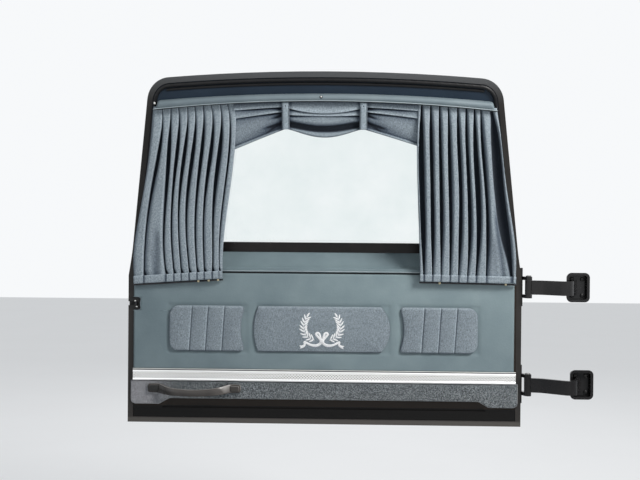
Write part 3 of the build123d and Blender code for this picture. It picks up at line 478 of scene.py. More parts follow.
hinge_tones = ((0.008, 0.008, 0.009), (0.014, 0.013, 0.013))
panel_cover = panel_leatherette()
rail_cover = leatherette("rail_leatherette", (0.152, 0.196, 0.220), (0.195, 0.242, 0.266))
# Painted highlight: the piping is a lighter copy of the rail's leatherette, for the light line along
# it
piping_highlight_cover = leatherette("piping_highlight_leatherette", (0.30, 0.36, 0.385), (0.37, 0.43, 0.455))
pad_cloth = upholstery_cloth("pad_cloth", (0.190, 0.232, 0.264), (0.435, 0.505, 0.555), False)
curtain_tones = ((0.225, 0.268, 0.302), (0.610, 0.710, 0.780))
curtain_cloth = upholstery_cloth("curtain_cloth", *curtain_tones, True)
door_paint = shell_paint()
frame_coat = frame_paint()
hinge_coat = coach_paint("hinge_paint", *hinge_tones, 0.16, 0.25, 0.0004, 0.24)
seal_tones = ((0.003, 0.003, 0.004), (0.008, 0.008, 0.009))
rubber = moulded("seal_rubber", *seal_tones, 0.42, 500, 0.0006, 0.3)
reveal_tones = ((0.004, 0.004, 0.004), (0.010, 0.008, 0.008))
reveal = moulded("window_reveal", *reveal_tones, 0.34, 260, 0.0001, 0.25)
handle_plastic = grip_plastic()
latch_plastic = moulded("latch_plastic", grey(0.008), grey(0.018), 0.5, gloss=0.3)
bright_metal = knurled_metal()
clip_brass = bare_metal("clip_brass", (0.42, 0.36, 0.22), (0.74, 0.66, 0.45), 0.3)
rod_tones = ((0.03, 0.03, 0.032), (0.075, 0.075, 0.08))
rod_steel = bare_metal("rod_steel", *rod_tones, 0.35, (0.1, 1, 1))
latch_steel = bare_metal("latch_steel", (0.5, 0.5, 0.49), (0.72, 0.72, 0.70), 0.32)
pin_steel = bare_metal("pin_steel", grey(0.10), (0.24, 0.24, 0.235), 0.34, (1, 1, 0.1))
chrome_tones = ((0.78, 0.79, 0.80), (0.86, 0.87, 0.88))
chrome = bare_metal("handle_chrome", *chrome_tones, 0.09, scale=60, depth=0.00003)
clip_nylon = moulded("clip_nylon", (0.62, 0.62, 0.60), (0.74, 0.74, 0.72), 0.4)
bolt_black = bare_metal("bolt_black", grey(0.02), grey(0.05), 0.4)
pile = carpet_pile("kick_carpet")
satin = satin_thread()
sewing = sewing_thread()


# Meshes


def shade_smooth(shape):
    """Shades every face of a mesh smoothly."""
    shape.polygons.foreach_set("use_smooth", np.ones(len(shape.polygons), bool))


def put_mesh(name, points, faces, finish, body="door", maps=None, folds=None):
    """Object from points in millimetres and an array of faces, in metres at the origin. The x of
    the points is measured from the door's middle."""
    shape = bpy.data.meshes.new(name)
    place = (np.array(points, float).reshape(-1, 3) + (MIDDLE, 0, 0)) * MM
    corners = faces.ravel().astype(np.int32)
    starts = np.arange(0, len(corners), faces.shape[1], dtype=np.int32)
    shape.vertices.add(len(place))
    shape.vertices.foreach_set("co", place.ravel())
    shape.loops.add(len(corners))
    shape.loops.foreach_set("vertex_index", corners)
    shape.polygons.add(len(faces))
    shape.polygons.foreach_set("loop_start", starts)
    shape.update(calc_edges=True)
    shade_smooth(shape)
    if maps is not None:
        layer = shape.uv_layers.new(name="cloth")
        layer.data.foreach_set("uv", maps.reshape(-1, 2)[corners].ravel())
    if folds is not None:
        layer = shape.attributes.new("fold", "FLOAT", "POINT")
        layer.data.foreach_set("value", folds.ravel())
    shape.materials.append(finish)
    shape.validate()
    piece = bpy.data.objects.new(name, shape)
    bpy.context.collection.objects.link(piece)
    if body:
        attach(piece, body)
    return piece


def quads(rows, cols, ring=False, flip=False):
    """Corner numbers of a grid's faces; ring joins the last column to the first."""
    here = np.arange(rows * cols).reshape(rows, cols)
    if ring:
        here = np.concatenate([here, here[:, :1]], axis=1)
    corners = [here[:-1, :-1], here[1:, :-1], here[1:, 1:], here[:-1, 1:]]
    faces = np.stack(corners, axis=-1).reshape(-1, 4)
    return faces[:, ::-1] if flip else faces


def repeated(faces, count, size):
    """Faces of one small mesh for a number of equal meshes of a size in points."""
    return (faces[None] + (np.arange(count) * size)[:, None, None]).reshape(-1, 4)


def on_grid(x, y, z):
    """Points from their three coordinates, each a number, a row, a column or a whole grid."""
    return np.stack(np.broadcast_arrays(x, y, z), axis=-1).astype(float)


def put_grid(name, points, finish, ring=False, flip=False, **more):
    """Surface over a grid of points: rows down, columns to the right, seen from the trimmed side."""
    rows, cols = points.shape[:2]
    return put_mesh(name, points, quads(rows, cols, ring, flip), finish, **more)


def weld(piece, fill_ends=False):
    """Merges doubles at poles and seams, or fills open ends, and turns all faces outwards."""
    shell = bmesh.new()
    shell.from_mesh(piece.data)
    if fill_ends:
        bmesh.ops.holes_fill(shell, edges=[edge for edge in shell.edges if edge.is_boundary])
    else:
        bmesh.ops.remove_doubles(shell, verts=shell.verts, dist=0.00001)
    bmesh.ops.recalc_face_normals(shell, faces=shell.faces)
    shell.to_mesh(piece.data)
    shell.free()
    if not fill_ends:
        shade_smooth(piece.data)
    return piece


def thicken(piece, thick):
    """Gives a sheet its thickness, in millimetres, on its inner side."""
    wall = piece.modifiers.new("thickness", "SOLIDIFY")
    wall.thickness = thick * MM
    wall.offset = -1.0


# Lines and curves


def through_points(known, values, at):
    """Smooth line through known values: cubic pieces whose slopes are the central differences."""
    known, values, at = (np.asarray(numbers, float) for numbers in (known, values, at))
    order = np.argsort(known)
    known, values = known[order], values[order]
    slope = np.gradient(values, known)
    span = np.clip(np.searchsorted(known, at) - 1, 0, len(known) - 2)
    width = known[span + 1] - known[span]
    t = np.clip((at - known[span]) / width, 0, 1)
    return (
        (2 * t**3 - 3 * t**2 + 1) * values[span]
        + (t**3 - 2 * t**2 + t) * width * slope[span]
        + (3 * t**2 - 2 * t**3) * values[span + 1]
        + (t**3 - t**2) * width * slope[span + 1]
    )


def smooth_columns(known, table, at):
    """Every column of a table as a smooth line through its values, read at the same places."""
    return np.stack([through_points(known, column, at) for column in np.transpose(table)], axis=-1)


def passed_along(line):
    """Length passed at each point of a line."""
    return np.concatenate([[0], np.cumsum(np.linalg.norm(np.diff(line, axis=0), axis=1))])


def read_along(line, passed, at):
    """Points of a line at lengths passed along it, straight between its own points."""
    return np.stack([np.interp(at, passed, column) for column in line.T], axis=-1)


def even_steps(line, count):
    """The same line with its points an even length apart."""
    passed = passed_along(line)
    return read_along(line, passed, np.linspace(0, passed[-1], count))


def along_line(points, count):
    """Even steps along a smooth line through points: each coordinate goes through its values
    at the chord lengths, and the steps are then spaced by the length passed."""
    points = np.asarray(points, float)
    passed = passed_along(points)
    fine = np.linspace(0, passed[-1], 12 * count)
    return even_steps(smooth_columns(passed, points, fine), count)


def unit(vectors):
    """Vectors divided by their lengths."""
    return vectors / np.linalg.norm(vectors, axis=-1, keepdims=True)


def bell(distance, wide):
    """Bell curve: e to the minus square of the distance over the width."""
    return np.exp(-((distance / wide) ** 2))


def shoulder(distance, radius):
    """Quarter round: height from 0 at an edge to 1 where the distance to it is the radius."""
    return np.clip(1 - (1 - np.clip(distance / radius, 0, 1)) ** 2, 0, 1) ** 0.5


def round_corner(at, end, radius):
    """How far an outline has drawn in at a place beside a round corner that ends at its end."""
    t = np.clip((at - (end - radius)) / radius, 0, 1)
    return radius * (1 - (1 - t**2) ** 0.5)


def edge_rise(t, power):
    """Rounded shoulder of a pad: one minus |t| to a power, its root taken, from 0 at the edge."""
    return np.clip(1 - np.abs(t) ** power, 0, 1) ** (1 / 2.2)


def dense(count, pull):
    """Places from -1 to 1 that crowd towards both ends: one minus a power of the way left."""
    t = np.linspace(-1, 1, count)
    return np.sign(t) * (1 - (1 - np.abs(t)) ** pull)


def leaning_y(z, proud):
    """Depth of a point at height z that stands proud of the leaning face of the frame."""
    return FRAME_Y - (z - KNEE_Z) * np.tan(LEAN) - proud / np.cos(LEAN)


def up_slope(distance, proud):
    """Height and depth of a point that is a distance up the leaning face and proud of it."""
    z = KNEE_Z + distance * np.cos(LEAN) - proud * np.sin(LEAN)
    y = FRAME_Y - distance * np.sin(LEAN) - proud * np.cos(LEAN)
    return z, y


def sag(x):
    """How far the rail, and all that hangs from it, lies lower at x than at its middle."""
    return 25 * (x / RAIL_HALF) ** 2


def hem_y(z, proud):
    """Depth of the hem's face: upright, then a bend of radius 250 round the waist, then leaning."""
    start, rise = 399.0, 69.0
    t = np.clip((z - start) / rise, 0, 1)
    beyond = np.clip(z - start - rise, 0, None)
    return -30.0 - proud - np.tan(LEAN) * (rise * t**2 / 2 + beyond)


# Round parts


def tube(name, line, radius, finish, steps=8, squeeze=1.0, maps=False):
    """Round section carried along a smooth line; the frame is turned from one step to the next
    by crossing the tangent with a fixed side, and the ends are closed domes."""
    tangent = unit(np.gradient(line, axis=0))
    fixed = np.array([0.0, 1.0, 0.0]) if abs(tangent[0, 1]) < 0.8 else np.array([0.0, 0.0, 1.0])
    side = unit(np.cross(tangent, fixed))
    over = np.cross(side, tangent)
    turn = np.linspace(0, 2 * np.pi, steps, endpoint=False)[None, :, None]
    size = np.broadcast_to(np.asarray(radius, float), (len(line),))[:, None]
    round_way = np.cos(turn) * side[:, None, :] + squeeze * np.sin(turn) * over[:, None, :]
    ring = line[:, None, :] + size[..., None] * round_way
    dome = np.sin(np.linspace(0, np.pi / 2, 4))[1:-1]
    caps = []
    for end, step in ((0, -1), (-1, 1)):
        middle, reach = line[end], step * tangent[end] * size[end]
        rows = [middle + reach * s + (ring[end] - middle) * (1 - s**2) ** 0.5 for s in dome]
        rows.append(np.broadcast_to(middle + reach, ring[end].shape))
        caps.append(np.stack(rows if end else rows[::-1]))
    points = np.concatenate([caps[0], ring, caps[1]], axis=0)
    own = cloth_maps(points) if maps else None
    piece = weld(put_grid(name, points, finish, ring=True, maps=own))
    return piece


def bead(name, place, sizes, finish, slot, power=2.0, body="door", count=24):
    """Closed rounded box or ball: a superellipsoid with half sizes and one power."""
    up = np.linspace(-np.pi / 2, np.pi / 2, count // 2 + 1)[:, None]
    turn = np.linspace(0, 2 * np.pi, count, endpoint=False)[None, :]

    def bent(value):
        return np.sign(value) * np.abs(value) ** (2.0 / power)

    level = bent(np.cos(up))
    points = on_grid(level * bent(np.cos(turn)), bent(np.sin(up)), level * bent(np.sin(turn)))
    piece = weld(put_grid(name, points * sizes + place, finish, ring=True, body=body))
    return piece


# Cloth


def cloth_maps(points):
    """Own map of a cloth in metres: the length passed along its row and along its column."""
    across = np.linalg.norm(np.diff(points, axis=1), axis=-1)
    down = np.linalg.norm(np.diff(points, axis=0), axis=-1)
    u = np.concatenate([np.zeros((len(points), 1)), np.cumsum(across, axis=1)], axis=1)
    v = np.concatenate([np.zeros((1, points.shape[1])), np.cumsum(down, axis=0)], axis=0)
    return np.stack([u, -v], axis=-1) * MM


def hang_cloth(name, node, points, folds, flip=False):
    """Sheet of curtain cloth with its own map, in the place of a soft solid."""
    own = cloth_maps(points)
    piece = put_grid(name, points, curtain_cloth, flip=flip, maps=own, folds=folds)
    thicken(piece, 0.9)
    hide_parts(node)


def padded_cover(name, node, points, finish, slot, fill, **more):
    """Cover of a padded piece, in the place of its solid."""
    piece = put_grid(name, points, finish, **more)
    thicken(piece, 1.0)
    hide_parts(node)


# Curtains. Each line of these tables is one fold, from the outer edge inwards: its place at
# each of the heights
HEIGHTS = (900, 850, 780, 700, 600, 500, 400, 360)
LEFT_FOLDS = (
    (-559, -566, -576, -589, -611, -636, -646, -647),
    (-529, -530, -540, -561, -582, -600, -611, -613),
    (-500, -503, -510, -517, -530, -539, -539, -534),
    (-474, -475, -481, -494, -507, -514, -510, -508),
    (-446, -447, -457, -472, -483, -489, -486, -483),
    (-421, -420, -430, -445, -457, -463, -459, -456),
    (-394, -393, -401, -415, -426, -433, -432, -429),
    (-367, -360, -373, -386, -397, -407, -407, -405),
    (-338, -331, -345, -358, -365, -374, -379, -379),
    (-311, -306, -312, -322, -338, -350, -355, -355),
    (-289, -289, -292, -301, -321, -335, -342, -344),
)
RIGHT_FOLDS = (
    (558, 566, 578, 593, 610, 635, 643, 646),
    (540, 549, 558, 571, 585, 603, 629, 634),
    (504, 507, 516, 525, 537, 544, 546, 546),
    (483, 486, 492, 500, 509, 515, 512, 512),
    (457, 459, 464, 471, 481, 485, 483, 482),
    (430, 433, 438, 445, 451, 454, 453, 453),
    (399, 403, 407, 411, 418, 421, 424, 424),
    (371, 373, 377, 382, 388, 390, 394, 394),
    (343, 345, 348, 352, 358, 362, 365, 366),
    (313, 313, 315, 319, 324, 330, 336, 337),
    (301, 301, 301, 307, 311, 317, 323, 323),
)
# Widest opening of each fold between two bands, from the outer edge inwards
LEFT_OPEN = (8, 11, 9, 8.5, 10, 9, 9, 11, 3.5)
RIGHT_OPEN = (24, 8, 13, 9, 9, 8, 8, 9, 14)
# Columns: height, and share of a fold's opening and of its depth there
LEFT_OPENING = (
    (938, 0.06, 0.15),
    (905, 0.12, 0.3),
    (870, 0.36, 0.6),
    (835, 0.72, 0.9),
    (790, 1.0, 1),
    (750, 1.05, 1),
    (700, 0.88, 1),
    (620, 0.58, 0.8),
    (540, 0.42, 0.6),
    (430, 0.33, 0.5),
    (375, 0.28, 0.45),
)
RIGHT_OPENING = (
    (938, 0.25, 0.35),
    (900, 0.5, 0.7),
    (855, 0.9, 1),
    (780, 1.2, 1),
    (640, 1.3, 1),
    (500, 1.15, 1),
    (440, 0.75, 0.85),
    (385, 0.32, 0.6),
)
# Slanted creases near the outer edge: heights, places there, half width and depth
LEFT_CREASES = (
    ((540, 470, 400, 362), (-565, -566, -569, -572), 11, 6.5),
    ((480, 440, 400, 362), (-585, -583, -580, -577), 7, 3.5),
)
RIGHT_CREASES = (
    ((620, 520, 440, 362), (562, 575, 590, 606), 9, 8.0),
    ((520, 470, 420, 362), (560, 566, 572, 580), 8, 4.0),
)
# Section of the hem band: share of the way down it, how far out it stands, and its painted
# lightness, lighter on the step at its top and painted shade where it turns under
HEM_SECTION = (
    (0.0, 13.0, 1.15),
    (0.03, 15.0, 1.15),
    (0.10, 15.8, 1.1),
    (0.3, 15.4, 1),
    (0.5, 15.0, 1),
    (0.7, 15.4, 1),
    (0.9, 15.8, 1),
    (0.97, 14.0, 0.9),
    (1.0, 11.0, 0.6),
    (0.985, 5.0, 0.3),
    (0.96, 1.0, 0.2),
)
FOLD_DEEP = 18.0
BAND_STEPS = 17
CLOTH_TOP, FOOT_BEND, BODY_FOOT = 938, 430, 376
ROD_Z, ROD_Y = 339.0, -47.0
UNDER_RAIL_Z = 919.8


def slow_line(fold, at):
    """Quartic of least squares through a fold's places at the table's heights."""
    heights = (np.array(HEIGHTS) - 630) / 270
    return np.polyval(np.polyfit(heights, fold, 4), (at - 630) / 270)


def pleat(right, crisp):
    """Height across a pleat, from its left to its right edge: a soft shoulder, a low crown, and a
    quarter round of a given width."""
    soft = (1 - (1 - np.clip(right / 0.36, 0, 1)) ** 2.2) ** 0.8
    crown = 1 - 0.14 * np.clip((right - 0.36) / 0.64, 0, 1) ** 2
    return soft * crown * (1 - np.clip((right - 1 + crisp) / crisp, 0, 1) ** 2) ** 0.5


def curtain_back(z):
    """Depth of the plane that a curtain hangs against, from its rod to the foot of the rail."""
    rail_y = leaning_y(UNDER_RAIL_Z, 17)
    return ROD_Y + (z - ROD_Z) / (UNDER_RAIL_Z - ROD_Z) * (rail_y - ROD_Y)


def creases_of(x, up, rows_z, creases):
    """How deep a curtain's slanted creases are: bells across lines that begin and end softly."""
    sink = 0
    for crease_z, crease_x, wide, depth in creases:
        middle = through_points(crease_z, crease_x, rows_z)[:, None]
        begins = np.clip((crease_z[0] - rows_z) / 60, 0, 1)
        ends = np.clip((rows_z - crease_z[-1] + 40) / 40, 0, 1)
        sink = sink + depth * (begins * ends)[:, None] * bell(x - middle, wide) * up
    return sink


def hem_band(x, foot, tall, pinch):
    """Points and mark of the band at a curtain's foot: its section steps out at the top, has a
    flat face that is pinched at the folds, and turns under. The mark is painted light and shade,
    darker in the pinches."""
    down, out, light = np.transpose(HEM_SECTION)[:, :, None]
    notch = (3.6 + 1.0 * np.sin(7 * down)) * pinch
    z = foot - down * tall
    y = curtain_back(z) - 1.0 - np.clip(out - notch, 0.5, None)
    points = on_grid(x, y, z + 1.4 * pinch * (down > 0.9))
    # Painted shade in the pinches and under the band, painted light on its upper step
    return points, 0.8 * light * (1 - 0.55 * pinch)


def curtain(name, side, folds, opens, opening, crisp, creases, foot_open, hem, band_tall):
    """Gathered curtain. Across, every band between two folds is a pleat with a soft left shoulder
    and a crisp right edge that tucks under itself. Down, the folds follow slow lines. At the foot
    the bands sink into a hem band that is pinched at each fold and hangs to two heights, at its
    outer and its inner edge."""
    upper = np.linspace(CLOTH_TOP, 860, 27)[:-1]
    lower = np.linspace(860, FOOT_BEND, 60)[:-1]
    rows_z = np.concatenate([upper, lower, np.linspace(FOOT_BEND, BODY_FOOT, 26)])
    drop = np.clip((rows_z - FOOT_BEND) / 490, 0, 1) * np.cos(LEAN)
    lines = np.stack([slow_line(fold, rows_z - drop * sag(fold[0])) for fold in folds], axis=1)
    heights, open_shares, deep_shares = np.transpose(opening)
    share = through_points(heights, open_shares, rows_z)
    deep = np.clip(through_points(heights, deep_shares, rows_z), 0.1, 1)[:, None]
    gap = share[:, None] * opens / 2
    near, far = lines[:, :-1].copy(), lines[:, 1:].copy()
    near[:, 1:] -= side * gap
    far[:, :-1] += side * gap
    across = (1 - np.cos(np.linspace(0, np.pi, BAND_STEPS))) / 2
    hem_x = (near[-1][:, None] + (far[-1] - near[-1])[:, None] * across).ravel()
    near[:, 1:] += foot_open * np.clip(1 - (rows_z - BODY_FOOT) / 17, 0, 1)[:, None] ** 1.4

    rows, bands = near.shape
    right = across if side < 0 else 1 - across
    up = np.stack([pleat(right, edge) for edge in crisp])
    x = near[:, :, None] + (far - near)[:, :, None] * across
    x = x - 2.4 * (1 - up) ** 2 * (right > 0.7) * share[:, None, None]
    # Slow waves, so that no band is quite like the next
    x = x + 0.9 * up * np.sin(rows_z[:, None, None] / 61 + np.arange(bands)[:, None] * 1.9)
    x, up = x.reshape(rows, -1), up.ravel()
    proud = up * FOLD_DEEP * deep
    # Painted shade and highlight: deep folds are darkened, shallow folds stay light, and each pleat
    # has a thin painted light edge on its right
    lit = np.clip(up, 0, 1)
    painted_rim_light = bell(np.tile(right, bands) - 0.9, 0.07)
    tone = 0.8 * lit ** (0.2 + 0.8 * deep**1.5) + 0.2 * painted_rim_light * lit
    sink = creases_of(x, up, rows_z, creases)
    # The hem is a little slanted: the last rows are shifted by the slant
    inwards = (hem_x - lines[-1, 0]) / (lines[-1, -1] - lines[-1, 0])
    foot = hem[0] + (hem[1] - hem[0]) * inwards + band_tall
    fall = np.clip((FOOT_BEND - rows_z) / (FOOT_BEND - BODY_FOOT), 0, 1)[:, None] ** 1.2
    z = rows_z[:, None] - drop[:, None] * sag(x) + fall * (foot - BODY_FOOT)
    body = on_grid(x, curtain_back(z) - 1.0 - proud + sink, z)

    pinch = np.tile(np.abs(2 * across - 1), bands) ** 10
    band, band_tone = hem_band(hem_x, foot, band_tall, pinch)
    points = np.concatenate([body, band], axis=0)
    # Painted shade in the slanted creases
    tone = np.concatenate([tone - 0.045 * sink, band_tone], axis=0)
    node = f"curtain_{name}"
    hang_cloth(f"curtain_cloth_{name}", node, points, tone, flip=side > 0)


left_bands = (LEFT_FOLDS, LEFT_OPEN, LEFT_OPENING, [0.1] * 10)
right_bands = (RIGHT_FOLDS, RIGHT_OPEN, RIGHT_OPENING, [0.3, 0.42] + [0.1] * 8)
left_foot = {"foot_open": 6.5, "hem": (329.5, 351), "band_tall": 27}
right_foot = {"foot_open": 0.0, "hem": (342, 347), "band_tall": 24}
curtain("left", -1, *left_bands, creases=LEFT_CREASES, **left_foot)
curtain("right", 1, *right_bands, creases=RIGHT_CREASES, **right_foot)

# Sections of the valance, from the rail down: a band and a roll that each overlap what hangs
# below, a plain face that turns in, and a lip. In the middle of the swag and at its ends, and for
# a side piece at its curtain and at its tab. Each stop is a distance down and how proud it is
SWAG_MIDDLE = (
    ((-14, 19), (-8, 23.5), (2, 25), (14, 26.5), (27, 28), (30, 26.4), (29.4, 24.6), (30.6, 23.9))
    + ((32.5, 25), (34.5, 26.4), (36.5, 27.6), (38, 26.4), (37.4, 24.4), (38.6, 23.4), (44, 24.6))
    + ((51, 25.8), (60, 25.6), (70, 22.4), (76, 19), (88, 17.6), (90, 20), (93, 24.5), (100, 27))
    + ((107, 25), (109.5, 19))
)
SWAG_SIDE = (
    ((-14, 19), (-9, 23), (-3, 25), (3, 26.5), (8, 27.8), (10, 25.5), (9, 21.6), (10.5, 19.8))
    + ((17, 22.5), (25, 25.5), (32, 27.6), (34.5, 25), (33.5, 21.2), (35, 19.8), (40, 22.5))
    + ((46, 24.5), (51, 23.4), (55, 20.4), (58, 18.2), (71, 17.6), (72.5, 20), (74.5, 23.5))
    + ((77, 25.4), (80, 23), (81, 19))
)
END_SECTION = (
    ((-14, 19), (-6, 23), (1, 24.5), (8, 25.8), (13, 27.4), (14.5, 25.6), (13.8, 23.6))
    + ((15.2, 22.8), (22, 24.2), (32, 25.6), (40, 27.2), (42, 25.4), (41.2, 23.4), (42.8, 22.8))
    + ((55, 24.4), (75, 25.5), (95, 26), (112, 25.5), (126, 24.3), (132, 22.6), (133.5, 24.2))
    + ((136, 26.6), (140, 26.6), (142.5, 24), (143, 19))
)
TAB_SECTION = (
    ((-14, 19), (-8, 23), (-3, 25), (2, 26.5), (6, 27.6), (8, 25.5), (7, 21.2), (8.5, 19.8))
    + ((13, 22.5), (17, 25), (21, 27.2), (23, 25), (22, 21.2), (23.5, 19.8), (30, 22.8))
    + ((38, 24.2), (48, 23.2), (56, 22), (64, 22.2), (70, 22.6), (72, 23.2), (74.5, 25))
    + ((77.5, 25.2), (79.5, 23), (80, 19))
)
# Creases of a side piece at its tab: level, slant, length and depth
FAN_CREASES = (
    (14, 0.10, 50, 3.0),
    (34, 0.24, 66, 3.6),
    (58, 0.26, 84, 3.8),
    (48, 0.70, 70, 1.8),
    (27, 0.50, 46, 1.8),
)
TAB_X = 126


def section_line(stops, count):
    """Smooth section through its stops, with as many steps between any two."""
    return smooth_columns(np.arange(len(stops)), stops, np.linspace(0, len(stops) - 1, count))


def swag(name, x_first, x_last, first, last, belly=None):
    """Folded cloth between two ends. Each row of the section runs straight from its first to its
    last stop. The swag hangs below that line by the belly's section times a power of 4 u (1 - u),
    whose exponent grows from 0.85 at the rail to 1.5 at the lip; a side piece has creases that
    fan out from its tab, each a bell across its line."""
    count = 110
    u = np.linspace(0, 1, 71)
    t = np.linspace(0, 1, count)[:, None]
    start, end = section_line(first, count)[:, None, :], section_line(last, count)[:, None, :]
    line = start * (1 - u[:, None]) + end * u[:, None]
    if belly:
        weight = ((4 * u * (1 - u)) ** (0.85 + 0.65 * t))[..., None]
        line = line * (1 - weight) + section_line(belly, count)[:, None, :] * weight
    down, proud = line[..., 0], line[..., 1]
    x = x_first + (x_last - x_first) * u
    if not belly:
        away = np.abs(x - x_last)
        for level, slant, long, deep in FAN_CREASES:
            strength = deep * np.clip(1 - away / long, 0, 1) ** 0.8
            proud = proud - strength * bell(down - level - slant * away, 4.0)
    proud = proud + 0.45 * np.sin(9 * t + 5 * u) * np.sin(np.pi * u) * np.sin(np.pi * t)
    z, y = up_slope(RAIL_UP - sag(x) - down, np.clip(proud, 17.6, None))
    # Painted shade in the recesses, painted highlights on the roll edges and a painted shadow beside
    # each tab
    shadow_beside_tab = np.clip(1 - (np.abs(np.abs(x) - TAB_X) - 13) / 13, 0, 1)
    tone = np.clip(0.8 * np.clip((proud - 18.9) / 4.4, 0, 1) + 0.13 * (proud - 26), 0, 1)
    tone = tone * (1 - 0.45 * shadow_beside_tab) * 0.94
    flip = x_last < x_first
    points = on_grid(x, y, z)
    node = f"valance_{name}"
    hang_cloth(f"valance_cloth_{name}", node, points, tone, flip=flip)


swag("centre", -125.5, 125.5, SWAG_SIDE, SWAG_SIDE, SWAG_MIDDLE)
swag("left", -295.0, -126.5, END_SECTION, TAB_SECTION)
swag("right", 308.0, 126.5, [(min(0.9 * d, d), proud) for d, proud in END_SECTION], TAB_SECTION)


def stitches(name, line, long, gap, thick):
    """Row of stitches along a line of points: one small six-sided spindle each."""
    passed = passed_along(line)
    starts = np.arange(0, passed[-1] - long, long + gap)
    first = read_along(line, passed, starts)[:, None, None, :]
    last = read_along(line, passed, starts + long)[:, None, None, :]
    ahead = unit(last - first)
    aside = unit(np.cross(ahead, (0.0, -1.0, 0.0)))
    over = np.cross(aside, ahead)
    turn = np.linspace(0, 2 * np.pi, 6, endpoint=False)[:, None]
    along = np.array([0, 0.25, 0.75, 1])[:, None, None]
    size = np.array([0.2, 1, 1, 0.2])[:, None, None] * thick / 2
    points = first * (1 - along) + last * along + size * (np.cos(turn) * aside + np.sin(turn) * over)
    piece = put_mesh(name, points, repeated(quads(4, 6, ring=True), len(starts), 24), sewing)


# Section of a tab, mirrored about its middle: place across it and lift off the face
TAB_STOPS = (
    (14.0, 28.5),
    (13.8, 31.5),
    (13.0, 33.4),
    (11.5, 34.2),
    (10.5, 33.5),
    (9.5, 34.2),
    (8, 34.6),
    (4, 34.9),
)


def tab(name, side):
    """Band of cloth over the valance: a flat strip with turned edges, sewn near both of them."""
    right = np.array(TAB_STOPS)
    section = np.concatenate([right * (-1, 1), [(0, 35.0)], right[::-1]])
    across, lift = 0.88 * section[:, 0], section[:, 1]
    down = np.concatenate([np.linspace(-8, 76, 40), [78, 79.5, 80, 79.5]])[:, None]
    droop = np.concatenate([np.zeros(40), [-0.4, -1.6, -3.5, -6]])[:, None] + 0.8 * np.sin(down / 13)
    x = side * TAB_X + across
    z, y = up_slope(RAIL_UP - sag(x) - down, lift - 0.6 + droop - 1.0 * (down < -2))
    # Painted shade on the turned edges and in the stitched grooves, painted highlight on the crown
    seam_shade = 0.42 * np.isin(np.arange(len(section)), (4, 12))
    tone = np.clip(0.8 * np.clip((lift - 30) / 4, 0.1, 1) + 0.1 * (lift - 34.2) - seam_shade, 0, 1)
    points = on_grid(x, y, z)
    tone = np.broadcast_to(tone, z.shape)
    hang_cloth(f"valance_band_{name}", f"valance_tab_{name}", points, tone)
    for row, column in (("outer", 3), ("inner", 13)):
        line = points[6:39, column] - (0, 0.5, 0)
        stitches(f"band_stitches_{name}_{row}", line, 3.0, 2.4, 1.5)
    z, y = up_slope(RAIL_UP - sag(TAB_X) - 3.0, 33.6)
    bead(f"band_pin_{name}", (side * TAB_X, y, z), (2.4, 1.6, 2.6), rubber, "seal")


# Padded pieces
PAD_MIDDLE, PAD_HALF = 180.0, 77.5
PAD_BACK = -37.0


def between(known, count):
    """Shares that mix the values at known places into one for each place of a count."""
    places = np.arange(count)
    return np.stack([np.interp(places, known, one) for one in np.eye(len(known))], axis=-1)


def swell(points, held, cap):
    """Cloth simulation of a pad's cover. Every other row and column of its grid is blown up by
    an even pressure while the marked points stay put. The way of each point, cut off at a cap,
    is spread back over the whole grid between its rows and columns."""
    rows, cols = (np.unique(np.append(np.arange(0, n, 2), n - 1)) for n in held.shape)
    coarse = points[np.ix_(rows, cols)]
    cover = put_mesh("pad_trial", coarse, quads(len(rows), len(cols)), pad_cloth, body=None)
    still = cover.vertex_groups.new(name="still")
    still.add(np.flatnonzero(held[np.ix_(rows, cols)]).tolist(), 1.0, "REPLACE")
    start = np.empty(coarse.size)
    cover.data.vertices.foreach_get("co", start)
    cloth = cover.modifiers.new("foam_pressure", "CLOTH").settings
    cloth.vertex_group_mass = "still"
    cloth.use_pressure = True
    cloth.uniform_pressure_force = 4.0
    cloth.effector_weights.gravity = 0.0
    cloth.bending_stiffness = 2.0
    for frame_number in range(1, 21):
        bpy.context.scene.frame_set(frame_number)
    blown = np.empty_like(start)
    swollen = cover.evaluated_get(bpy.context.evaluated_depsgraph_get())
    swollen.data.vertices.foreach_get("co", blown)
    bpy.context.scene.frame_set(1)
    bpy.data.objects.remove(cover)
    way = (blown - start).reshape(coarse.shape) / MM
    length = np.linalg.norm(way, axis=-1, keepdims=True)
    way = way * np.minimum(1, cap / np.maximum(length, 1e-6))
    by_row, by_col = between(rows, held.shape[0]), between(cols, held.shape[1])
    return np.einsum("ri,cj,ija->rca", by_row, by_col, way, optimize=True)


def pad_valley(x, z):
    """How much the board sinks round the pads: a bell of the distance to each pad's outline."""
    sink = 0
    for middle, half in ((0, 222), (-394.5, 130.5), (394.5, 130.5)):
        far_x = np.clip(np.abs(x - TRIM_MIDDLE - middle) - half, 0, None)
        far_z = np.clip(np.abs(z - PAD_MIDDLE) - PAD_HALF, 0, None)
        far = (far_x**2 + far_z**2) ** 0.5
        sink = np.maximum(sink, 2.4 * bell(far, 6.5) + 1.4 * bell(far, 22))
    return sink


BOARD_Z, BOARD_HALF = 204.5, 166.2
BOARD_LEFT, BOARD_RIGHT, LATCH_EDGE = -651.7, 646.7, -629.2


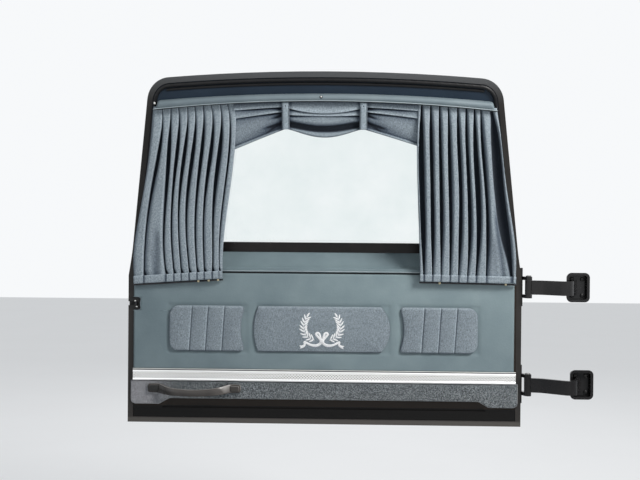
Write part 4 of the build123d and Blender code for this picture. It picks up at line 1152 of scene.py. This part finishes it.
def trim_board():
    """Padded board: a shallow cushion whose height is the product of two rounded shoulders,
    less the valley round the pads. Its left edge steps in over the latch."""
    round_in = 6 * (1 - np.cos(np.linspace(0, np.pi / 2, 7)))
    ends = [BOARD_Z - BOARD_HALF + round_in, BOARD_Z + BOARD_HALF - round_in]
    notch_rows = [240.0, 240.6, 241.2, 282.8, 283.4, 284.0]
    z = np.unique(np.concatenate([*ends, np.linspace(44, 365, 94), notch_rows]))[::-1, None]
    inside = (z > 240.5) & (z < 283.5)
    left = np.where(inside, LATCH_EDGE, BOARD_LEFT)
    edge = np.array([0, 0.0004, 0.0012, 0.0026, 0.0045, 0.007])
    u = np.concatenate([edge, np.linspace(0.01, 0.99, 252), 1 - edge[::-1]])
    x = left + (BOARD_RIGHT - left) * u
    rise = shoulder(np.minimum(x - left, BOARD_RIGHT - x), 7)
    rise = rise * shoulder(BOARD_HALF - np.abs(z - BOARD_Z), 7)
    notch_side = np.minimum(np.abs(z - 240.8), np.abs(z - 283.2))
    notch_rise = np.minimum(rise, shoulder(notch_side, 4) + 0.25)
    rise = np.where((x < LATCH_EDGE + 0.7) & ~inside, notch_rise, rise)
    soft = 0.5 * np.sin(x / 97 + 1) * np.sin(z / 51) + 0.35 * np.sin(x / 43 + z / 60)
    crown = 0.8 * (1 - ((z - BOARD_Z) / BOARD_HALF) ** 2)
    y = -30.2 - rise * (9.3 + crown + 0.4 * soft) + pad_valley(x, z) * rise
    padded_cover("trim_board", "trim_panel", on_grid(x, y, z), panel_cover, "trim", 0.8)


trim_board()


def painted_edge_shade(left, right, top, foot):
    """Mark for the cloth near a pad's edges from the distances to them: painted shade in a dark line
    where the lower and left edges turn under, fainter at the right edge, and a painted highlight
    along the upper edge."""
    dark = np.maximum(bell(foot, 2.6), 0.7 * bell(left, 2.4))
    dark = np.maximum(dark, 0.5 * bell(right, 1.8))
    return np.clip(0.8 - 0.62 * dark + 0.16 * bell(top - 3.5, 3.0), 0, 1)


def centre_cushion():
    """Centre pad: a band with bulging ends, the parabolas 222 + 16 (1 - v squared) on the left
    and 198 + 31 (1 - v squared) on the right. Gives back its face, row by row from the foot: the
    places along x, the depths there, and the row's height."""
    v = -dense(70, 1.6)[:, None]
    u = dense(181, 1.6)
    half = np.where(u < 0, 222 + 16 * (1 - v**2), 198 + 31 * (1 - v**2))
    x = u * half
    z = PAD_MIDDLE + PAD_HALF * v
    share = edge_rise(u, 70) * edge_rise(v, 26)
    high = 11.0 * share + 2.4 * (1 - v**2) * np.clip(1 - u**2, 0, 1) ** 0.5
    points = on_grid(x + TRIM_MIDDLE, PAD_BACK - high, z)
    points[..., 1] += swell(points, share < 0.8, 5.0)[..., 1]
    # Painted shade and highlight along the pad's edges
    tone = painted_edge_shade(x + half, half - x, PAD_HALF * (1 - v), PAD_HALF * (1 + v))
    padded_cover("centre_cushion", "centre_pad", points, pad_cloth, "cloth", 0.75, folds=tone)
    return x[::-1], points[::-1, :, 1], z[::-1, 0]


pad_face = centre_cushion()


def centre_front(x, z):
    """Depth of the centre pad's face at any place, read between the rows of its grid: each row
    is read along x, and the two rows next to z are mixed."""
    row_x, row_y, heights = pad_face
    x, z = np.broadcast_arrays(np.asarray(x, float), np.asarray(z, float))
    above = np.clip(np.searchsorted(heights, z), 1, len(heights) - 1).ravel()
    share = (z.ravel() - heights[above - 1]) / (heights[above] - heights[above - 1])
    depths = np.array([np.interp(x.ravel(), *row) for row in zip(row_x, row_y)])
    at = np.arange(x.size)
    lower, upper = depths[above - 1, at], depths[above, at]
    return (lower + (upper - lower) * share).reshape(x.shape)


SEAMS = np.array([340.0, 396.0, 451.0])


def side_cushion(name, side, inner_end):
    """Side pad: outer corners rounded to 34 and inner ones to 19, inner end hollowed by 16, and
    three slanted seams that sink between low crowned channels."""
    v = -dense(76, 1.6)[:, None]
    u = dense(264, 1.25)
    z = PAD_MIDDLE + PAD_HALF * v
    outer = 525 - round_corner(np.abs(v) * PAD_HALF, PAD_HALF, 34)
    inner = inner_end + 16 * (1 - v**2) + round_corner(np.abs(v) * PAD_HALF, PAD_HALF, 19)
    reach = inner + (outer - inner) * (u + 1) / 2
    upright = reach - side * 10 * (z - PAD_MIDDLE) / (2 * PAD_HALF)
    channel = np.interp(upright, [262, *SEAMS, 527], np.arange(5))
    past_seam = side * (upright[..., None] - SEAMS)
    away = np.abs(past_seam).min(axis=-1)
    groove = bell(away, 1.7) + 0.4 * bell(away, 8.0)
    crown = np.sin(np.pi * (channel - np.floor(channel))) ** 0.6
    share = edge_rise(v, 26) * edge_rise(u, 50)
    high = share * (11.0 + 1.8 * crown - 3.4 * groove)
    # Painted shade beside each seam and a painted highlight past it
    dark = bell(past_seam - 0.6, 1.5).max(axis=-1)
    light = bell(past_seam + 3.0, 1.7).max(axis=-1)
    to_left, to_right = (outer - reach, reach - inner)[::-side]
    tone = painted_edge_shade(to_left, to_right, PAD_HALF * (1 - v), PAD_HALF * (1 + v))
    tone = np.clip(tone - 0.24 * dark + 0.2 * light, 0, 1)
    points = on_grid(side * reach + TRIM_MIDDLE, PAD_BACK - np.clip(high, 0, None), z)
    held = (share < 0.8) | (away < 2.2)
    points[..., 1] += swell(points[:, ::side], held[:, ::side], 4.0)[:, ::side, 1]
    node, look = f"side_pad_{name}", {"flip": side < 0, "folds": tone}
    padded_cover(f"side_cushion_{name}", node, points, pad_cloth, "cloth", 0.7, **look)


side_cushion("left", -1, 264)
side_cushion("right", 1, 257)

# Section of the sill in depth and height, from its foot behind the roll to the black strip
LEDGE_SECTION = (
    ((-31, 373.6), (-37, 373.8), (-40.2, 377), (-41.2, 382), (-39.6, 387), (-35.5, 388.6))
    + ((-31, 388.2), (-22, 394), (-8, 409), (6, 427), (14, 437.5), (17.4, 440.6))
)
LEDGE_HALF = 447.9


def ledge_cover():
    """Padded sill: one section carried along x. It starts behind the roll, goes round the roll,
    dips behind it and rises softly to the black strip."""
    section = along_line(LEDGE_SECTION, 72)[::-1]
    x = LEDGE_HALF * dense(161, 1.2)
    t = np.linspace(0, 1, 72)[:, None]
    belly = 1.6 * np.sin(np.pi * np.clip(t / 0.72, 0, 1)) ** 2
    sink = 2.5 * (1 - shoulder(LEDGE_HALF - np.abs(x), 9))
    wave = 0.25 * np.sin(x / 57) * np.sin(np.pi * t)
    y = section[:, :1] - belly * 0.8 + sink
    z = section[:, 1:] + belly * 0.9 - sink * 0.7 + wave
    padded_cover("ledge_cover", "window_ledge", on_grid(x, y, z), panel_cover, "trim", 0.8)


ledge_cover()

# Section of the head rail: distance up the slope and how proud it is
RAIL_SECTION = (
    ((4, 1), (9, 14), (11, 25), (12.6, 33), (15, 38), (19, 40), (24, 39.3), (28.5, 36))
    + ((31, 30), (31.5, 20), (31.5, 1))
)


def head_rail():
    """Padded bar: a closed section in the plane across the slope, carried along x. The bar's
    half length shrinks up the slope, and its ends close over a quarter round."""
    section = np.concatenate([along_line(RAIL_SECTION, 46), [[17, 0.4]]], axis=0)
    turn_in = 0.024 * (1 - np.cos(np.linspace(0, np.pi / 2, 9)))
    u = np.concatenate([turn_in - 1, np.linspace(-0.97, 0.97, 120), 1 - turn_in[::-1]])[:, None]
    close = np.maximum(shoulder(1 - np.abs(u), 0.022), 0.02)
    proud = section[:, 1] * close
    up = 18 + (section[:, 0] - 18) * (0.72 + 0.28 * close)
    x = u * (RAIL_HALF - 0.4 - 10 * up / 30)
    up = np.maximum(up - 5.0 * u**2 * np.clip((19 - up) / 7, 0, 1), 0.6)
    z, y = up_slope(RAIL_UP - sag(x) + up, proud)
    piece = weld(put_grid("rail_cover", on_grid(x, y, z), rail_cover, ring=True), fill_ends=True)
    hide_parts("head_rail")


head_rail()
# The tabs hang from the rail, over the valance
tab("left", -1)
tab("right", 1)

# Seal, strips and handle
DOOR_SIDE = np.array([(-671.0, 358.0), (-569.0, 1003.0)])
CROWN_RISE, CORNER_RADIUS = 25, 80


def door_edge(inset, steps):
    """Line round the top of the door, drawn in by inset: up the tapered side, round the corner,
    over the crown and down again, mirrored about the middle."""
    low, high = DOOR_SIDE
    along = unit(high - low)
    inward = np.array([along[1], -along[0]])
    crown_radius = (high[0] ** 2 + CROWN_RISE**2) / (2 * CROWN_RISE)
    crown_middle = np.array([0, high[1] + CROWN_RISE - crown_radius])
    start = low + inward * CORNER_RADIUS
    offset = start - crown_middle
    ahead = offset @ along
    reach = (ahead**2 - offset @ offset + (crown_radius - CORNER_RADIUS) ** 2) ** 0.5 - ahead
    middle = start + along * reach
    touch = middle - inward * CORNER_RADIUS
    outward = unit(middle - crown_middle)
    first = np.arctan2(-inward[1], -inward[0]) % (2 * np.pi)
    last = np.arctan2(outward[1], outward[0])

    def arc(centre, radius, begin, end, count):
        turn = np.linspace(begin, end, count)[1:, None]
        return centre + (radius - inset) * np.concatenate([np.cos(turn), np.sin(turn)], axis=1)

    side = low + (touch - low) * np.linspace(0, 1, 60)[:, None] + inward * inset
    corner = arc(middle, CORNER_RADIUS, first, last, 24)
    crown = arc(crown_middle, crown_radius, last, np.pi / 2, 40)
    half = np.concatenate([side, corner, crown])
    return even_steps(np.concatenate([half, (half * (-1, 1))[-2::-1]]), steps)


def weather_seal():
    """Rubber bulb in the gap inside the hem: a flattened bulb whose radius has a small bump
    every 26 mm, on a line drawn in by 26. Under the crown its flat foot shows beside it; the foot
    is partly the seal's own and partly a dark strip standing for the shadow under the hem."""
    line = door_edge(26, 900)
    line = np.concatenate([[[-641.6, 373.0]], line[line[:, 1] > 375], [[641.6, 373.0]]])
    bump = 0.55 * bell(passed_along(line) % 26 - 13, 2.2)
    path = on_grid(line[:, 0], hem_y(line[:, 1], -1.0), line[:, 1])
    bulb = tube("seal_bulb", path, 6.3 + bump, rubber, 16, squeeze=0.85)
    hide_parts("weather_seal")
    # Partly the seal's real foot, partly a dark strip for the painted shadow under the hem
    foot = door_edge(37, 300)
    foot = foot[foot[:, 1] > 968]
    path = on_grid(foot[:, 0], leaning_y(foot[:, 1], 0.6), foot[:, 1])
    tube("seal_foot", path, 5.0, rubber, 12, squeeze=0.4)


weather_seal()

# Borders of the bright strip: height and depth, from its top to the band and on to its foot
UPPER_BORDER = (
    ((36, -30.3), (36, -38), (35.6, -40), (34.2, -41.6), (32, -42.1), (29.8, -41.6))
    + ((28.4, -40.6), (27.8, -39.8))
)
LOWER_BORDER = (
    ((8.2, -39.8), (7.6, -40.6), (6.2, -41.6), (4, -42.1), (1.8, -41.6), (0.4, -40))
    + ((0, -38), (0, -30.3))
)
KNURL_STEP = 5.2


def bright_moulding():
    """Rolled strip: two round borders and a sunk band with a knurl of crossed ridges, whose
    height is the larger of two slanted waves."""
    band = on_grid(np.linspace(27.2, 8.8, 19), -39.7, 0)[:, :2]
    section = np.concatenate([UPPER_BORDER, band, LOWER_BORDER])
    x = np.linspace(-651.8, 651.8, 1040)
    z, y = section[:, :1], section[:, 1:]
    inside = (z < 27.5) & (z > 8.5)
    waves = [np.sin((x + slant * z) * np.pi / KNURL_STEP) for slant in (1.1, -1.1)]
    wave = np.maximum(*waves)
    # Painted shade: the mark darkens the knurl's grooves and leaves its ridges bright
    tone = np.where(inside, np.clip(0.5 + 1.2 * (wave - 0.4), 0, 1), 1.0)
    points = on_grid(x, y - inside * 0.55 * wave, z)
    piece = put_grid("bright_moulding", points, bright_metal, folds=tone)
    thicken(piece, 0.8)
    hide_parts("bright_strip")


bright_moulding()

CARPET_HALF = 660.7


def carpet_strip():
    """Carpet: the drop below the bright strip is 62 in the middle and 82 at the ears, with
    slanted steps and round outer corners; its face is a low cushion roughened by set noise."""
    x = np.linspace(-CARPET_HALF, CARPET_HALF, 601)
    low = -np.interp(np.abs(x), [0, 527, 563, 661], [62, 62, 82, 82])
    low = low + round_corner(np.abs(x), CARPET_HALF, 18)
    v = (1 - np.cos(np.linspace(0, np.pi, 39))) / 2
    v = (0.5 * v + 0.5 * np.linspace(0, 1, 39))[:, None]
    z = -0.6 + (low + 0.6) * v
    tall = -0.6 - low
    gap = np.minimum(np.minimum(v * tall, (1 - v) * tall), CARPET_HALF - np.abs(x))
    fuzz = chance.normal(0, 0.28, z.shape)
    y = -30.4 - shoulder(gap, 4.5) * (7.2 + 0.3 * np.sin(x / 71)) - np.clip(gap, 0, 1) * fuzz
    piece = put_grid("carpet_strip", on_grid(x, y, z), pile)
    thicken(piece, 1.2)
    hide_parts("kick_strip")


carpet_strip()

# Stations of the grip: place along it, depth, drop, and half of its height and thickness
GRIP_STATIONS = (
    (-160, -42.5, 0, 14.5, 3.4),
    (-142, -42.5, 0, 15.5, 4.0),
    (-122, -45, -0.5, 15.5, 4.6),
    (-112, -51, -1.5, 15, 6),
    (-96, -64, -4, 14, 7),
    (-80, -72, -6.5, 13, 7),
    (-40, -76.5, -9.5, 12, 7),
    (0, -78, -11, 11.6, 7),
    (40, -76.5, -9.5, 12, 7),
    (80, -72, -6, 13, 7),
    (96, -64, -4, 13.5, 7),
    (112, -51, -1.5, 14.2, 6),
    (122, -45, -0.5, 14.6, 4.6),
    (142, -42.5, 0, 14.6, 4.0),
    (160, -42.5, 0, 12.5, 3.2),
)
GRIP_X, GRIP_Z, GRIP_HALF = -440, -25, 160


def pull_handle():
    """Grip: a boxy superellipse section carried along a line that rises from the left foot, bows
    out and dips, and comes down to the right foot. Its height and thickness follow the length."""
    stations = np.array(GRIP_STATIONS)
    at = np.linspace(-GRIP_HALF, GRIP_HALF, 121)
    path_y, drop, tall, thick = smooth_columns(stations[:, 0], stations[:, 1:], at).T[..., None]
    slope = np.gradient(path_y[:, 0], at)
    normal = unit(np.stack([slope, -np.ones_like(slope)], axis=-1))
    turn = np.linspace(0, 2 * np.pi, 40, endpoint=False)
    wide = np.sign(np.cos(turn)) * np.abs(np.cos(turn)) ** 0.34
    high = np.sign(np.sin(turn)) * np.abs(np.sin(turn)) ** 0.34
    wide = wide - 0.45 * np.clip(wide, 0, 1) * np.clip(high - 0.25, 0, 1)
    at = at[:, None]
    close = shoulder(GRIP_HALF - np.abs(at), 5)
    middle = np.clip(1 - np.abs(at) / 120, 0, 1)
    ridge = 1 + 0.10 * np.clip(wide, 0, 1) * (1 - np.abs(high)) * middle
    out = thick * close * wide * ridge
    x = GRIP_X + at + normal[:, :1] * out
    y = path_y + normal[:, 1:] * out
    points = on_grid(x, y, GRIP_Z + drop + tall * close * high)
    grip = weld(put_grid("pull_grip", points, handle_plastic, ring=True))
    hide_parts("pull_handle")
    sizes, slot = (15.6, 3.9, 9.6), "black_plastic"
    # Painted shade and light: the left cap takes the darker latch plastic, the right one the grip's
    # plastic with its painted light
    for name, side, finish in (("left", -1, latch_plastic), ("right", 1, handle_plastic)):
        place = (GRIP_X + side * 138, -48.2, GRIP_Z)
        cap = bead(f"grip_cap_{name}", place, sizes, finish, slot, 5.0, count=48)
        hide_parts(f"handle_cap_{name}")


pull_handle()


# Small parts


def rail_parts():
    """Piping, joint, button and end clip of the head rail. The lines on it sink towards its
    ends with the square of the way. The piping is a painted highlight in a lighter leatherette,
    the joint a dark rubber strip standing for the shade in it, and the button's white centre a
    painted highlight."""
    x = np.linspace(-553, 553, 160)
    sink = sag(x) + 5 * (x / 553) ** 2
    z, y = up_slope(RAIL_UP - sink + 13.6, 37.4)
    # Painted highlight: the rail's piping in the lighter leatherette
    tube("rail_piping", on_grid(x, y, z), 1.7, piping_highlight_cover, 10)
    # Painted shade: a dark rubber strip stands for the shade in the joint under the piping
    z, y = up_slope(RAIL_UP - sink + 10.6, 29.0)
    tube("rail_gap_shade", on_grid(x, y, z), 2.0, rubber)
    z, y = up_slope(RAIL_UP + 25.0, 38.6)
    bead("rail_button_ring", (-11.0, y, z), (5.2, 2.6, 5.0), hinge_coat, "black_plastic")
    # Painted highlight: the button's white nylon centre stands for the glint on it
    bead("rail_button", (-10.4, y - 2.2, z + 0.8), (2.8, 1.6, 2.7), clip_nylon, "bright")
    z, y = up_slope(RAIL_UP - sag(552) + 26.5, 30.0)
    bead("rail_end_clip", (-550.5, y, z), (3.0, 6.0, 3.6), clip_nylon, "trim", 3.0)


def straight(name, half, steps, y, z, radius, finish):
    """Thin round bar across the door."""
    tube(name, on_grid(np.linspace(-half, half, steps), y, z), radius, finish)


ROD_CLIPS = ((-427, 341.5), (-392, 344.0), (-360, 346.3), (391, 342.2), (613, 339.6))
NOTCH_LINE = (
    ((-650, -38.5, 285.6), (-636, -39.6, 285.4), (-628.2, -39.8, 282), (-627.4, -39.8, 262))
    + ((-628.2, -39.8, 242), (-636, -39.6, 238.6), (-650, -38.5, 238.4))
)


def small_parts():
    """Pipings and joints of the sill, the bright strip and the latch notch, clips on the rods,
    rivets of the latch and bolt heads in the hinge pockets. The sill's piping is a painted
    highlight in a lighter leatherette, and the joints are dark rubber strips standing for the
    shade in them."""
    # Painted shade: a dark rubber strip stands for the shade in the joint below the sill
    straight("ledge_gap_shade", 447, 80, -35.5, 371.6, 3.0, rubber)
    for number, (x, z) in enumerate(ROD_CLIPS):
        place, sizes = (x, -50.5, z), (4.2, 4.4, 4.6)
        bead(f"rod_clip_{number}", place, sizes, clip_brass, "rod_steel", 3.0)
    straight("strip_lip", 651, 60, -39.6, 39.8, 1.5, clip_nylon)
    # Painted shade: a dark rubber strip stands for the shade in the joint above the bright strip
    straight("strip_gap_shade", 651, 60, -38.6, 37.2, 1.2, rubber)
    # Painted highlight: the sill's piping in the lighter leatherette
    straight("ledge_piping", 447, 80, -40.6, 377.2, 1.8, piping_highlight_cover)
    tube("notch_piping", along_line(NOTCH_LINE, 60), 1.5, rail_cover)
    for number, (x, z) in enumerate(((-646, 271), (-641, 251))):
        place, sizes = (x, -37.0, z), (3.0, 2.0, 2.6)
        bead(f"latch_rivet_{number}", place, sizes, latch_steel, "latch_steel", 2.4)
    held = {"body": "pillar_hinges", "count": 16}
    for level, middle_z, middle_x in (("lower", 0, 877), ("upper", 330, 862)):
        for number, (x, z) in enumerate(((-18, -28), (18, -28), (-18, 28), (18, 28))):
            name, place = f"hinge_bolt_{level}_{number}", (middle_x + x, -12.0, middle_z + z)
            bead(name, place, (7.0, 4.2, 7.0), bolt_black, "hinge_paint", 3.5, **held)


rail_parts()
small_parts()

# Embroidered laurel
SPRAY_MIDDLE = -3
STEM_POINTS = (
    ((25, 145), (37, 148), (49, 155), (58, 166), (62.5, 180), (62.5, 195), (58.5, 210))
    + ((52.5, 222),)
)
LOOP_POINTS = (
    ((2, 142), (8, 149), (15, 158), (19.5, 165), (16, 169.5), (10, 167), (6, 158), (3, 146))
)
TAIL_POINTS = ((1, 143), (5, 134), (14, 127.5), (28, 126), (42, 129.5), (54, 136), (62, 138))
END_POINTS = ((61, 138.5), (58, 132.5), (60, 126), (66, 122), (76, 120))


def pad_lift(points):
    """Lays flat drawing points (x, z, raised) on the centre pad's face."""
    x, z, raised = np.moveaxis(points, -1, 0)
    x = x + SPRAY_MIDDLE
    return on_grid(x + TRIM_MIDDLE, centre_front(x, z) - raised, z)


def leaf(root, angle, length, wide):
    """One satin-stitched leaf: a pointed oval whose half width is half of wide times sine to the
    0.7 of the length passed, raised in the middle."""
    s = np.linspace(0, 1, 12)[:, None]
    t = np.linspace(-1, 1, 7)
    aside = t * wide / 2 * np.sin(np.pi * s**0.85) ** 0.7
    ahead = s * length
    x = root[0] + ahead * np.cos(angle) - aside * np.sin(angle)
    z = root[1] + ahead * np.sin(angle) + aside * np.cos(angle)
    raised = 0.15 + 1.25 * (1 - t**2) ** 0.5 * np.clip(np.sin(np.pi * s), 0.05, 1) ** 0.5
    return on_grid(x, z, raised), on_grid(aside, ahead, 0)[..., :2] * MM


def laurel():
    """Two mirrored branches. The stem is a smooth line; nine pairs of leaves sit along it, the
    inner ones turned from its direction by 54 to 38 degrees, the outer ones by 38, and one
    closes it."""
    stem = along_line(STEM_POINTS, 60)
    heading = np.arctan2(np.gradient(stem[:, 1]), np.gradient(stem[:, 0]))
    leaves = []
    for step, at in enumerate(np.linspace(2, 54, 9).astype(int)):
        size = 18.0 + 2.0 * np.sin(np.pi * (step + 0.5) / 9)
        for turn, stretch in ((0.95 - 0.035 * step, 1.2), (-0.66, 1.0)):
            leaves.append(leaf(stem[at], heading[at] + turn, size * stretch, 5.4))
    leaves.append(leaf(stem[-1], heading[-1] + 0.1, 18.5, 6.4))
    grids, maps = (np.stack(parts) for parts in zip(*leaves))
    count, rows, cols = grids.shape[:3]
    flat = on_grid(stem[:, 0], stem[:, 1], 0.3)
    for name, mirror in (("right", 1), ("left", -1)):
        faces = repeated(quads(rows, cols, flip=mirror > 0), count, rows * cols)
        lifted = pad_lift(grids * (mirror, 1, 1))
        piece = put_mesh(f"laurel_leaves_{name}", lifted, faces, satin, maps=maps)
        twig = pad_lift(flat * (mirror, 1, 1))
        tube(f"laurel_stem_{name}", twig, 0.7, satin, squeeze=0.7, maps=True)


def ribbon(name, line, wide, fork=0.0):
    """Flat band of stitches along a line on the pad: its half width follows the length, and the
    middle is raised by a half ellipse. A fork draws the middle of its end back."""
    ahead = unit(np.gradient(line, axis=0))[:, None, :]
    t = np.linspace(-1, 1, 9)
    aside = wide[:, None] / 2 * t
    back = fork * np.linspace(0, 1, len(line))[:, None] ** 3 * (1 - np.abs(t))
    left = np.stack([-ahead[..., 1], ahead[..., 0]], axis=-1)
    flat = line[:, None, :] + aside[..., None] * left - back[..., None] * ahead
    points = on_grid(flat[..., 0], flat[..., 1], 0.2 + 1.3 * (1 - t**2) ** 0.5)
    maps = on_grid(aside, passed_along(line)[:, None], 0)[..., :2] * MM
    piece = put_grid(name, pad_lift(points), satin, maps=maps)
    normals = np.empty(len(piece.data.polygons) * 3)
    piece.data.polygons.foreach_get("normal", normals)
    if normals[1::3].mean() > 0:
        piece.data.flip_normals()


def bow():
    """Ribbon under the branches: two loops, a knot, and two tails that sweep out, fold back and
    end in a fork."""
    loop_wide = 6.4 + 1.2 * np.sin(np.linspace(0, np.pi, 60))
    tail_wide = 8.6 + 1.0 * np.sin(np.linspace(0, 2 * np.pi, 60))
    end_wide = 7.2 + 4.4 * np.linspace(0, 1, 40) ** 2
    for name, side in (("right", 1), ("left", -1)):
        for part, line, wide, fork in (
            ("loop", LOOP_POINTS, loop_wide, 0.0),
            ("tail", TAIL_POINTS, tail_wide, 0.0),
            ("end", END_POINTS, end_wide, 4.5),
        ):
            mirrored = along_line(np.array(line) * (side, 1), len(wide))
            ribbon(f"ribbon_{part}_{name}", mirrored, wide, fork)
    place = (TRIM_MIDDLE + SPRAY_MIDDLE, centre_front(0, 143) - 1.0, 143)
    knot = bead("ribbon_knot", place, (8.2, 1.9, 7.2), satin, "cloth", 2.4).data
    corners = np.empty(len(knot.loops), np.int32)
    knot.loops.foreach_get("vertex_index", corners)
    points = np.empty(len(knot.vertices) * 3)
    knot.vertices.foreach_get("co", points)
    own = knot.uv_layers.new(name="cloth")
    own.data.foreach_set("uv", points.reshape(-1, 3)[corners][:, [0, 2]].ravel())


laurel()
bow()

# Finishes of the solids
SOLID_FINISHES = {
    "outer_shell": door_paint,
    "inner_frame": frame_coat,
    "window_glass": wiped_glass(),
    "window_surround": reveal,
    "latch_case": latch_plastic,
    "latch_claw": rod_steel,
    "handle_dish": chrome,
    "outer_handle": chrome,
    "lock_barrel": chrome,
}
for side in ("left", "right"):
    SOLID_FINISHES[f"curtain_rod_{side}"] = rod_steel
for level in ("lower", "upper"):
    SOLID_FINISHES[f"hinge_pin_{level}"] = pin_steel
    for part in ("leaf", "arm", "pocket"):
        SOLID_FINISHES[f"hinge_{part}_{level}"] = hinge_coat
for node, finish in SOLID_FINISHES.items():
    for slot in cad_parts[node].material_slots:
        slot.material = finish

floor_mesh = bpy.data.meshes.new("studio_floor")
corners = [(-14, -9, -0.75), (12, -9, -0.75), (12, 14, -0.75), (-14, 14, -0.75)]
floor_mesh.from_pydata(corners, [], [(0, 1, 2, 3)])
floor_mesh.materials.append(pale_floor())
floor = bpy.data.objects.new("studio_floor", floor_mesh)
bpy.context.collection.objects.link(floor)
